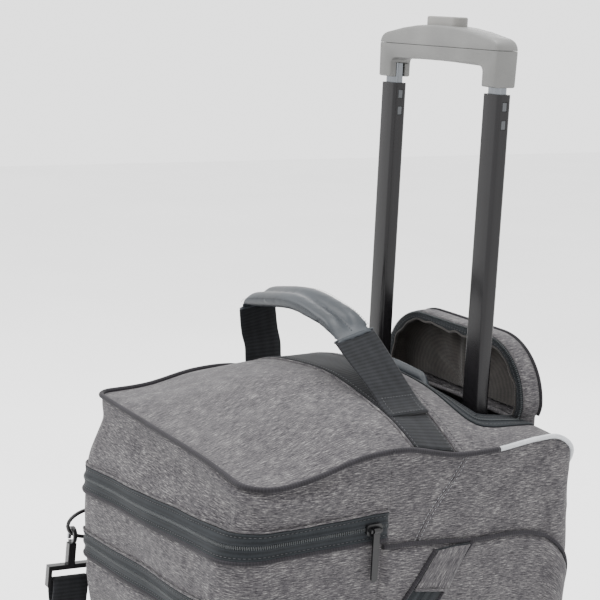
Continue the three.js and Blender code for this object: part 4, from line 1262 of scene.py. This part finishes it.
class CASE_OT_handle(bpy.types.Operator):
    """Webbing across the top, its sewn ends and the padded carry handle"""

    bl_idname = "case.build_handle"
    bl_label = "Carry handle"

    def execute(self, context):
        sizes = context.scene.case_sizes
        # Webbing sewn flat across the top, from edge to edge
        xs = np.arange(-152, 153, 3.0)
        path = np.array([(x, HANDLE_Y, float(top_z(x, HANDLE_Y)) + 1.3) for x in xs])
        slope = np.gradient(path[:, 2], xs)
        lift = np.stack([-slope, np.zeros(len(xs)), np.ones(len(xs))], 1)
        lift /= np.linalg.norm(lift, axis=1)[:, None]
        grid = []
        for x, l in zip(xs, lift):
            line = []
            for u, v in (
                (-21.9, 0.0), (-21.6, 0.9), (-21, 1.2), (-10, 1.3), (0, 1.3), (10, 1.3), (21, 1.2),
                (21.6, 0.9), (21.9, 0.0)
            ):
                y = HANDLE_Y + u
                line.append(np.array((x, y, float(top_z(x, y)))) + l * (0.5 + v * 1.3))
            grid.append(line)
        strip = grid_mesh("top_webbing_strip", grid, list(xs), [0, 1, 2, 11, 21, 31, 40, 41, 42])
        strip.data.flip_normals()
        modify(strip, "SOLIDIFY", thickness=1.0 * MM, offset=-1)
        give(evaluated(strip), mats("webbing"), "bag", ["top_webbing"])
        seams, outs = [], []
        for y in (HANDLE_Y - 19.2, HANDLE_Y + 19.2, HANDLE_Y + 28, HANDLE_Y + 33):
            seams.append([(x, y, float(top_z(x, y)) + (2.4 if y < HANDLE_Y + 20 else 0.5)) for x in xs])
            outs.append([tuple(l) for l in lift])
        repeats(
            "top_webbing_stitches", seams, outs, sizes.stitch_spacing, (3.0, 0.7, 0.5), mats("thread"),
            "bag"
        )
        for k, y in enumerate((HANDLE_Y - 23.5, HANDLE_Y + 25.2)):
            fold = [(x, y, float(top_z(x, y)) + 0.4) for x in xs]
            give(cord_mesh(f"top_fold_{k + 1}", fold, 1.3, 8), mats("heather"), "bag")
        self.grip(sizes)
        self.straps()
        return {"FINISHED"}

    def grip(self, sizes):
        """Two padded rolls side by side, pinched between and flattened into a hem at each end."""
        path = smooth_path([leaned(x, 0, h) for x, h in GRIP_LINE], 2.5)
        run = run_lengths(path)
        tangents = np.gradient(path, axis=0)
        tangents /= np.linalg.norm(tangents, axis=1)[:, None]
        across = np.tile((0, math.cos(HANDLE_LEAN), math.sin(HANDLE_LEAN)), (len(path), 1))
        lift = np.cross(tangents, across)
        lift *= np.sign(lift[:, 2].mean())
        ends = np.minimum(run, run[-1] - run)
        full = smooth_step(6, 26, ends)
        grid = []
        angles = np.linspace(0, 2 * math.pi, 40, endpoint=False)
        for p, a, l, f in zip(path, across, lift, full):
            line = []
            for t in angles:
                u = math.cos(t)
                roll = 0.55 + 0.45 * math.sin(min(1, abs(u) * 1.35) * math.pi * 0.5)
                notch = 1 - 0.8 * math.exp(-((u / 0.17) ** 2))
                high = (
                    1.5 + 5.6 * f * roll * (notch if f > 0.05 else 1)
                ) * math.copysign(abs(math.sin(t)) ** 0.75, math.sin(t))
                line.append(p + a * u * (21.2 - 0.9 * f) + l * high)
            grid.append(line)
        pad = outward(
            grid_mesh(
                "handle_padded_grip", grid, run, list(angles * 6) + [40], closed_across=True, caps=True
            )
        )
        puff(pad, min(sizes.pad_swell, 1.6), 2.6)
        give(pad, mats("vinyl"), "carry_handle", ["handle_grip"])
        # Stitches down the middle channel, along both hems and across both ends
        lines, outs = [], []
        inner = slice(4, len(path) - 4)
        for u, h in ((0.0, 2.9), (-18.6, 3.6), (18.6, 3.6)):
            lines.append(
                [p + a * u + l * (h + 0.5) for p, a, l in zip(path[inner], across[inner], lift[inner])]
            )
            outs.append(lift[inner])
        for k in (3, -4):
            lines.append([path[k] + across[k] * u + lift[k] * 2.6 for u in np.linspace(-16, 16, 9)])
            outs.append([lift[k]] * 9)
        repeats(
            "handle_grip_stitches", lines, outs, 3.4, (2.3, 0.6, 0.6), mats("thread"),
            "carry_handle"
        )
        for name, k in (("near", len(path) - 3), ("far", 2)):
            rim = [
                path[k] + across[k] * 21.6 * math.cos(t) + lift[k] * 2.4 * math.sin(t) for t in np.linspace(
                    0, 2 * math.pi, 30
                )
            ]
            give(
                cord_mesh(f"handle_hem_{name}", rim, 1.0, 8, up=tuple(tangents[k])), mats("vinyl"),
                "carry_handle"
            )

    def straps(self):
        """The webbing at each end of the grip, which bends between the handle and the bag."""
        def rest(x, up):
            return (x, HANDLE_Y, float(top_z(x, HANDLE_Y)) + up)
        routes = {
            "left": [
                leaned(-145.8, 0, 40), leaned(-149, 0, 24), leaned(-150.5, 0, 8), leaned(-149, 0, -6),
                rest(-143, 5.2), rest(-130, 3.8)
            ],
            "right": [
                leaned(35, 0, 46), leaned(46, 0, 37), leaned(66, 0, 20.5), rest(86, 8.5), rest(99, 4.4),
                rest(112, 3.8)
            ],
        }
        for side, route in routes.items():
            path = smooth_path(route, 3)
            flat = np.array([0.0, 1.0, 0.0])
            tilt = np.array([0.0, math.cos(HANDLE_LEAN), math.sin(HANDLE_LEAN)])
            share = smooth_step(0, 0.75, np.linspace(0, 1, len(path)))[:, None]
            tangents = np.gradient(path, axis=0)
            tangents /= np.linalg.norm(tangents, axis=1)[:, None]
            across = tilt * (1 - share) + flat * share
            across /= np.linalg.norm(across, axis=1)[:, None]
            lift = np.cross(tangents, across)
            obj = ribbon_mesh(f"handle_strap_{side}_webbing", path, across, lift, 43.0, 2.4)
            give(obj, mats("webbing"), None, [f"handle_strap_{side}"])
            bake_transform(obj)
            if side == "right":
                k = len(path) - 9
                flip = 1 if lift[k][2] > 0 else -1
                rows = [
                    [
                        path[j] + across[j] * u + lift[j] * flip * 1.4 for u in np.linspace(-16, 16, 12)
                    ] for j in (k, len(path) - 2)
                ]
                rows += [
                    [
                        path[j] + across[j] * u + lift[j] * flip * 1.4 for j in range(k, len(path) - 1)
                    ] for u in (-16, 16)
                ]
                outs = [[lift[k] * flip] * len(r) for r in rows]
                repeats(
                    "handle_strap_end_stitches", rows, outs, 3.2, (2.3, 0.7, 0.5), mats("thread"),
                    "bag"
                )


class CASE_OT_opening(bpy.types.Operator):
    """Zip band, binding and fabric patch round the opening that the tow handle comes out of"""

    bl_idname = "case.build_opening"
    bl_label = "Tow handle opening"

    def execute(self, context):
        sizes = context.scene.case_sizes
        # Zip band round the front and sides of the opening
        line = [(-112, 168), (-113, 140), (-112, 118), (-104, 105), (-60, 100), (0, 99), (60, 100),
                (104, 105), (112, 118), (113, 140),
                (112, 168)]
        path = smooth_path([(x, y, 0) for x, y in line], 3)
        flat = path[:, :2]
        tangent = np.gradient(flat, axis=0)
        tangent /= np.linalg.norm(tangent, axis=1)[:, None]
        normal = np.stack([-tangent[:, 1], tangent[:, 0]], 1)
        grid, seams, coil, hem = [], [[], []], [], []
        for p, n in zip(flat, normal):
            def on(u, d):
                x, y = p + n * u
                return np.array((x, y, float(top_z(min(max(x, -153.9), 153.9), y)) + d))
            grid.append([on(u, d) for u, d in (
                (-10.5, 0.1), (-10, 1.6), (-8.6, 1.8), (-5, 1.2), (-1.2, 1.4), (-0.8, 2.2), (0.8, 2.2),
                (1.2, 1.4), (5, 1.2), (8.6, 1.8), (10, 1.6), (10.5, -1.5))])
            seams[0].append(on(-7, 1.8))
            seams[1].append(on(7, 1.8))
            coil.append(on(0, 2.2))
            hem.append(on(11.2, 0.9))
        band = grid_mesh("opening_zip_band", grid, run_lengths(path), [k * 2.0 for k in range(12)])
        if band.data.polygons[len(band.data.polygons) // 2].normal.z < 0:
            band.data.flip_normals()
        modify(band, "SOLIDIFY", thickness=1.2 * MM, offset=-1)
        give(evaluated(band), mats("tape"), "bag")
        up = (0, 0, 1)
        repeats(
            "opening_coil", [coil], [up], sizes.tooth_spacing, (1.1, 3.0, 1.4), mats("coil"),
            "bag"
        )
        repeats(
            "opening_stitches", seams, [up, up], sizes.stitch_spacing, (2.9, 0.7, 0.5), mats("thread"),
            "bag"
        )
        give(cord_mesh("opening_binding", hem, 1.5, 8), mats("tape"), "bag")
        # Smooth coated patch behind the band, left of the middle, folded over the opening's front lip
        xs = np.linspace(-92, 34, 30)
        grid = []
        for x in xs:
            end = smooth_step(0, 12, 34 - x) * smooth_step(0, 12, x + 92)
            grid.append([(x, y, float(top_z(x, y)) + 0.6 + h * end) for y, h in (
                (105.5, 0.6), (107.5, 6), (109.3, 10.5), (111, 12.4), (112.6, 9.5), (113, 2), (112.6, -9))])
        patch = grid_mesh("opening_garage", grid, list(xs), [0, 6, 11, 14, 18, 26, 37])
        modify(patch, "SOLIDIFY", thickness=1.0 * MM, offset=0)
        give(evaluated(patch), mats("vinyl"), "bag")
        return {"FINISHED"}


COVER_Y = 182.0


def cover_outline(inset, count=90):
    """The cover's arch from its right foot over the top to its left foot, as (X, Z) pairs, with its slack."""
    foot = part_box("trolley_cover")[0].z / MM
    u0, u1 = -104 + inset, 116 - inset
    top, r = foot + 66 - inset, 60 - inset
    points = [(u1 - 3, foot - 3), (u1 - 1, foot + 2)]
    points += [
        (u1 - r + r * math.cos(t), top - r + r * math.sin(t)) for t in np.linspace(0, math.pi / 2, 24)
    ]
    points += [
        (u0 + r + r * math.cos(t), top - r + r * math.sin(t)) for t in np.linspace(math.pi / 2, math.pi, 24)
    ]
    points += [(u0 + 1, foot + 2), (u0 + 3, foot - 3)]
    path = resample([(x, 0, z) for x, z in points], 1.0)
    run = run_lengths(path)
    at = np.linspace(0, run[-1], count)
    return np.stack([np.interp(at, run, path[:, k]) for k in (0, 2)], 1)


class CASE_OT_cover(bpy.types.Operator):
    """The cover that stands open behind the tow handle: fabric hood, gathered lining, wavy binding and zip"""

    bl_idname = "case.build_cover"
    bl_label = "Tow handle cover"

    def execute(self, context):
        sizes = context.scene.case_sizes
        arch = cover_outline(0)
        middle = np.array((6.0, arch[:, 1].min() - 1))
        run = run_lengths(np.column_stack([arch, np.zeros(len(arch))]))
        # Hood: from the rim forward of the tubes' back, round to the rear panel's middle
        def shell(name, inset, depths, ripple):
            grid = []
            for share, y, drop in depths:
                row = []
                for (x, z), s in zip(arch, run):
                    toward = (np.array((x, z)) - middle)
                    place_at = middle + toward * share
                    length = np.linalg.norm(toward)
                    place_at = place_at - toward / length * (inset + drop)
                    wave = ripple * (0.6 * math.sin(s / 4.2) + 0.5 * math.sin(s / 7.7 + 1))
                    row.append((place_at[0], y + wave, max(place_at[1], arch[0, 1] - 1)))
                grid.append(row)
            return grid_mesh(name, grid, [k * 6.0 for k in range(len(depths))], list(run))
        outside = [
            (1, COVER_Y - 23, 0), (1, COVER_Y - 17, -0.8), (1, COVER_Y - 10, -1.0), (1, COVER_Y - 4, -0.2),
            (1, COVER_Y - 1.2, 1.6)
        ]
        outside += [
            (s, COVER_Y + 0.4 + 1.5 * (1 - s), 2.5) for s in (
                0.97, 0.9, 0.8, 0.65, 0.5, 0.35, 0.2, 0.08, 0.0
            )
        ]
        hood = shell("cover_hood", 0.0, outside, 0.0)
        modify(hood, "SOLIDIFY", thickness=1.3 * MM, offset=0)
        give(evaluated(hood), mats("heather"), "cover", ["trolley_cover"])
        inside = [
            (1, COVER_Y - 22.6, 2.2), (1, COVER_Y - 17, 3.2), (1, COVER_Y - 10, 4.2), (1, COVER_Y - 5, 5.5)
        ]
        grid = []
        for share, y, drop in inside + [
            (s, COVER_Y - 3.0, 6.0) for s in (0.94, 0.84, 0.7, 0.55, 0.4, 0.25, 0.1, 0.0)
        ]:
            row = []
            for (x, z), s in zip(arch, run):
                toward = np.array((x, z)) - middle
                point = middle + toward * share - toward / np.linalg.norm(toward) * drop * min(1, share * 4)
                fold = 1.3 * math.sin(
                    point[0] / 4.6 + 0.5 * math.sin(point[1] / 21)
                ) + 0.8 * math.sin(point[0] / 2.9 + 1.3)
                row.append(
                    (
                        point[0] + 0.5 * math.sin(s / 3.1), y - 0.9 - fold * (0.4 if share == 1 else 0.9),
                        max(point[1], arch[0, 1] - 0.5)
                    )
                )
            grid.append(row)
        lining = grid_mesh("cover_lining", grid, [k * 6.0 for k in range(len(grid))], list(run))
        modify(lining, "SUBSURF", levels=1, render_levels=1)
        modify(lining, "SOLIDIFY", thickness=0.8 * MM, offset=0)
        give(evaluated(lining), mats("lining"), "cover")
        # Skirt that joins the hood to the bag's top, just inside the hood's foot
        foot = arch[:, 1].min()
        line = smooth_path([(112, 160, 0), (113, 168, 0), (112.5, 176, 0), (108, 181, 0), (98, 182, 0),
                            (6, 182, 0),
                            (-86, 182, 0), (-96, 181, 0), (-100.5, 176, 0), (-101, 168, 0),
                            (-100, 160, 0)], 4)
        grid = [[(x, y, z) for z in np.linspace(float(top_z(x, y)) - 3, foot + 3, 4)] for x, y, _ in line]
        skirt = grid_mesh("cover_skirt", grid, run_lengths(line), [0, 5, 10, 15])
        modify(skirt, "SOLIDIFY", thickness=1.3 * MM, offset=0)
        give(evaluated(skirt), mats("heather"), "bag")
        # Zip tape on the rim, its coil and stitches, and the wavy binding along its inner edge
        def ring_at(inset, y, wave=0.0):
            out = []
            for (x, z), s in zip(arch, run):
                toward = np.array((x, z)) - middle
                point = np.array((x, z)) - toward / np.linalg.norm(toward) * (
                    inset + wave * (math.sin(s / 6.3) + 0.7 * math.sin(s / 3.7 + 2))
                )
                out.append((point[0], y, max(point[1], arch[0, 1] - 0.5)))
            return out
        rim_y = COVER_Y - 23
        rows = [ring_at(0.5, rim_y + 0.5), ring_at(1, rim_y - 0.8), ring_at(4, rim_y - 1.4),
                ring_at(7.5, rim_y - 1.1, 0.5),
                ring_at(8.6, rim_y - 0.9, 0.9), ring_at(9, rim_y + 1.5, 0.9)]
        tape = grid_mesh("cover_zip_tape_edge", rows, [0, 2, 5, 8.5, 10, 12], list(run))
        modify(tape, "SOLIDIFY", thickness=0.9 * MM, offset=0)
        give(evaluated(tape), mats("tape"), "cover", ["zip_tape_cover"])
        repeats(
            "cover_zip_coil", [ring_at(0.9, rim_y - 1.5)], [(0, -1, 0)], sizes.tooth_spacing,
            (1.1, 2.6, 1.4), mats("coil"), "cover"
        )
        repeats(
            "cover_zip_stitches", [ring_at(5.6, rim_y - 1.7)], [(0, -1, 0)], sizes.stitch_spacing,
            (2.8, 0.7, 0.5), mats("thread"), "cover"
        )
        give(
            cord_mesh("cover_binding", ring_at(9.4, rim_y - 0.6, 1.0), 1.3, 8, up=(0, 1, 0)),
            mats("lining"), "cover"
        )
        give(
            cord_mesh("cover_piping", ring_at(-1.0, COVER_Y - 1.6), 1.6, 8, up=(0, 1, 0)), mats("piping"),
            "cover"
        )
        return {"FINISHED"}


class CASE_OT_tow(bpy.types.Operator):
    """Tubes, their bushes, grip, release button and the well in the bag's top"""

    bl_idname = "case.build_tow"
    bl_label = "Tow handle"

    def execute(self, context):
        for side in ("right", "left"):
            hard_piece(
                f"outer_tube_{side}", f"outer_tube_{side}_profile", mats("black_tube"), "bag",
                0.3
            )
            hard_piece(
                f"middle_tube_{side}", f"middle_tube_{side}_profile", mats("black_tube"),
                "tow_middle", 0.3
            )
            hard_piece(
                f"tube_bush_{side}", f"tube_bush_{side}_moulding", mats("window"),
                "tow_middle", 0.2
            )
            hard_piece(
                f"inner_tube_{side}", f"inner_tube_{side}_profile", mats("bright_tube"),
                "tow_grip", 0.3
            )
            hard_piece(
                f"push_rod_{side}", f"push_rod_{side}_wire", mats("steel"), "tow_button", 0.0
            )
        hard_piece("grip_lower", "grip_lower_moulding", mats("grip"), "tow_grip", 0.7, 3)
        hard_piece("grip_upper", "grip_upper_moulding", mats("grip"), "tow_grip", 0.7, 3)
        hard_piece(
            "release_button", "release_button_moulding", mats("button"), "tow_button", 0.6,
            3
        )
        hard_piece("release_yoke", "release_yoke_bar", mats("steel"), "tow_button", 0.4)
        hard_piece("trolley_well", "tow_well_moulding", mats("abs"), "bag", 0.8)
        return {"FINISHED"}


STRAP_HALF = 164.0  # half the distance between the two ends of the hanging stretch
STRAP_SAG = 248.2
STRAP_LEAN = math.radians(4)
RING_EYE_Y = -177.0
RING_Z = 378.0
HOOK_BAR_Z = -46.0  # from the strap's pivot


def lean_point(x, y, z, pivot, lean=STRAP_LEAN):
    """A point of the hanging strap's own frame, leaned about the D-rings, in the row frame."""
    py, pz = pivot
    return np.array(
        (x, py + y * math.cos(lean) + z * math.sin(lean), pz - y * math.sin(lean) + z * math.cos(lean))
    )


class CASE_OT_strap(bpy.types.Operator):
    """Shoulder strap with its folded ends, snap hooks, D-rings and their tabs"""

    bl_idname = "case.build_strap"
    bl_label = "Shoulder strap"

    def execute(self, context):
        half, sag = STRAP_HALF, STRAP_SAG
        pivot = (RING_EYE_Y, RING_Z - 15 * math.sqrt(1 - (23 / 28) ** 2) - 1.4)
        low = HOOK_BAR_Z - 9.8 - sag
        c = 10.0
        step = 500.0
        while step > 0.001:
            if (c + step) * (math.cosh(half / (c + step)) - 1) > sag:
                c += step
            step /= 2
        hang = [(x, low + c * (math.cosh(x / c) - 1)) for x in np.linspace(-half, half, 90)]
        hang = [p for p in hang if p[1] < -80]
        # From the hang up to each hook, over its bar and down inside again
        right = [(half + 1.6, -70), (half + 6.5, -58), (half + 6.6, -50), (half + 3.5, -45.0),
                 (half - 1.5, -44.4), (half - 5.6, -48.5),
                 (half - 6.2, -57), (half - 5.4, -68), (half - 6.6, -80), (half - 9.5, -92),
                 (half - 12.5, -104)]
        left = [(-x, z) for x, z in right][::-1]
        line = smooth_path([lean_point(x, 0, z, pivot) for x, z in left + hang + right], 3)
        tangents = np.gradient(line, axis=0)
        tangents /= np.linalg.norm(tangents, axis=1)[:, None]
        across = np.tile((0.0, math.cos(STRAP_LEAN), -math.sin(STRAP_LEAN)), (len(line), 1))
        lift = np.cross(tangents, across)
        strap = ribbon_mesh("shoulder_strap_webbing", line, across, lift, 37.5, 1.9)
        give(strap, mats("webbing"), "strap", ["shoulder_strap"])
        for side, sign in (("right", 1), ("left", -1)):
            hard_piece(
                f"snap_hook_{side}", f"snap_hook_{side}_moulding", mats("acetal"), "strap",
                0.9, 3
            )
            hard_piece(
                f"hook_gate_{side}", f"hook_gate_{side}_spring", mats("steel"), f"gate_{side}", 0.3
            )
            hard_piece(
                f"d_ring_{side}", f"d_ring_{side}_wire", mats("acetal"), "bag", 0.0,
                crease=60
            )
            hard_piece(
                f"ring_tab_{side}", f"ring_tab_{side}_webbing", self.tab_cloth(), "bag", 0.9, 3
            )
            # Two rows of stitches across the folded end
            rows = []
            for z in (-74, -88):
                rows.append(
                    [
                        lean_point(
                            sign * (half - 4.9 - (-z - 68) * 0.09), y, z, pivot
                        ) for y in np.linspace(-15, 15, 8)
                    ]
                )
            repeats(
                f"strap_stitches_{side}", rows, [(sign * -1, 0, 0)] * 2, 3.2, (2.3, 0.7, 0.5),
                mats("thread"), "strap"
            )
        return {"FINISHED"}

    def tab_cloth(self):
        """Webbing for a piece without a texture map: the same ribs, read off its place."""
        if "tab" not in MATERIALS:
            m, tree, shader = new_material("polyester_webbing_tab", 0.85)
            place = add_node(tree, "ShaderNodeTexCoord").outputs["Object"]
            where = add_node(tree, "ShaderNodeMapping", {"Vector": place, "Scale": (0, 80, 0)}).outputs[0]
            links = {"Vector": where, "Scale": 1.0}
            ribs = add_node(tree, "ShaderNodeTexWave", links, bands_direction="Y").outputs["Fac"]
            where = add_node(
                tree, "ShaderNodeMapping", {"Vector": place, "Scale": (420, 420, 420)}
            ).outputs[0]
            links = {"Vector": where, "Scale": 1.0, "Detail": 2.0, "Roughness": 0.6}
            mottle = add_node(tree, "ShaderNodeTexNoise", links).outputs["Fac"]
            tone = add_node(tree, "ShaderNodeMix", {0: 0.5, 2: ribs, 3: mottle}).outputs[0]
            stops = [(0.25, "#38393c"), (0.75, bpy.context.scene.case_colours.webbing)]
            ramp = add_node(tree, "ShaderNodeValToRGB", {"Fac": tone}, stops)
            bump = add_node(tree, "ShaderNodeBump", {"Height": ribs, "Distance": 0.3 * MM, "Strength": 0.7})
            tree.links.new(ramp.outputs[0], shader.inputs["Base Color"])
            tree.links.new(bump.outputs[0], shader.inputs["Normal"])
            MATERIALS["tab"] = m
        return MATERIALS["tab"]


class CASE_OT_gear(bpy.types.Operator):
    """Wheels, axles, housings and feet"""

    bl_idname = "case.build_gear"
    bl_label = "Running gear"

    def execute(self, context):
        for side in ("right", "left"):
            hard_piece(f"tyre_{side}", f"tyre_{side}_tread", mats("tyre"), f"wheel_{side}", 0.6)
            hard_piece(
                f"hub_{side}", f"hub_{side}_moulding", mats("hub"), f"wheel_{side}", 0.5
            )
            hard_piece(f"axle_{side}", f"axle_{side}_pin", mats("steel"), "bag", 0.4)
            hard_piece(
                f"wheel_housing_{side}", f"wheel_housing_{side}_moulding", mats("abs"),
                "bag", 2.2, 3
            )
            hard_piece(f"foot_{side}", f"foot_{side}_moulding", mats("abs"), "bag", 2.0, 3)
        return {"FINISHED"}


class CASE_OT_inside(bpy.types.Operator):
    """Boards, bracket and the padded laptop sleeve inside"""

    bl_idname = "case.build_inside"
    bl_label = "Inside"

    def execute(self, context):
        sizes = context.scene.case_sizes
        hard_piece("base_board", "base_board_sheet", mats("board"), "bag", 0.5)
        hard_piece("divider_board", "divider_board_sheet", mats("board"), "bag", 0.5)
        hard_piece("trolley_bracket", "tow_bracket_moulding", mats("abs"), "bag", 0.8)
        sleeve = bpy.data.objects.new("laptop_sleeve_pad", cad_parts["laptop_sleeve"].data.copy())
        context.scene.collection.objects.link(sleeve)
        outward(sleeve)
        puff(sleeve, min(sizes.pad_swell, 2.0), 5.0)
        cloth, tree, shader = new_material("sleeve_tricot", 0.9, Sheen_Weight=0.4, Sheen_Roughness=0.4)
        place = add_node(tree, "ShaderNodeTexCoord").outputs["Object"]
        where = add_node(tree, "ShaderNodeMapping", {"Vector": place, "Scale": (700, 700, 700)}).outputs[0]
        links = {"Vector": where, "Scale": 1.0, "Detail": 3.0, "Roughness": 0.6}
        pile = add_node(tree, "ShaderNodeTexNoise", links).outputs["Fac"]
        ramp = add_node(tree, "ShaderNodeValToRGB", {"Fac": pile}, [(0.3, "#37332f"), (0.7, "#544e4a")])
        bump = add_node(tree, "ShaderNodeBump", {"Height": pile, "Distance": 0.4 * MM, "Strength": 0.6})
        tree.links.new(ramp.outputs[0], shader.inputs["Base Color"])
        tree.links.new(bump.outputs[0], shader.inputs["Normal"])
        give(sleeve, cloth, "bag", ["laptop_sleeve"])
        return {"FINISHED"}


BUILDERS = (
    "stage", "bag", "zips", "piping", "pockets", "handle", "opening", "cover", "tow", "strap", "gear",
    "inside"
)


class CASE_PT_panel(bpy.types.Panel):
    """Everything that the case is built from, in order"""

    bl_idname = "CASE_PT_panel"
    bl_label = "Rolling laptop case"
    bl_space_type = "VIEW_3D"
    bl_region_type = "UI"
    bl_category = "Case"

    def draw(self, context):
        for group in (context.scene.case_sizes, context.scene.case_colours):
            for name in group.__annotations__:
                self.layout.prop(group, name)
        for name in BUILDERS:
            self.layout.operator(f"case.build_{name}")


CLASSES = (
    CaseSizes, CaseColours, CASE_OT_stage, CASE_OT_bag, CASE_OT_zips, CASE_OT_piping, CASE_OT_pockets,
    CASE_OT_handle,
    CASE_OT_opening, CASE_OT_cover, CASE_OT_tow, CASE_OT_strap, CASE_OT_gear, CASE_OT_inside, CASE_PT_panel,
)


def register():
    for cls in CLASSES:
        bpy.utils.register_class(cls)
    bpy.types.Scene.case_sizes = bpy.props.PointerProperty(type=CaseSizes)
    bpy.types.Scene.case_colours = bpy.props.PointerProperty(type=CaseColours)


def unregister():
    del bpy.types.Scene.case_colours
    del bpy.types.Scene.case_sizes
    for cls in reversed(CLASSES):
        bpy.utils.unregister_class(cls)


def corners(bounds):
    """A box as two lists of plain numbers."""
    return [[float(c) for c in corner] for corner in bounds]


REPEAT = None


def main():
    global REPEAT
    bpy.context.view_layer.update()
    register()
    REPEAT = repeat_tree()
    for name in BUILDERS:
        getattr(bpy.ops.case, f"build_{name}")()
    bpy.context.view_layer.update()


if __name__ == "__main__":
    main()
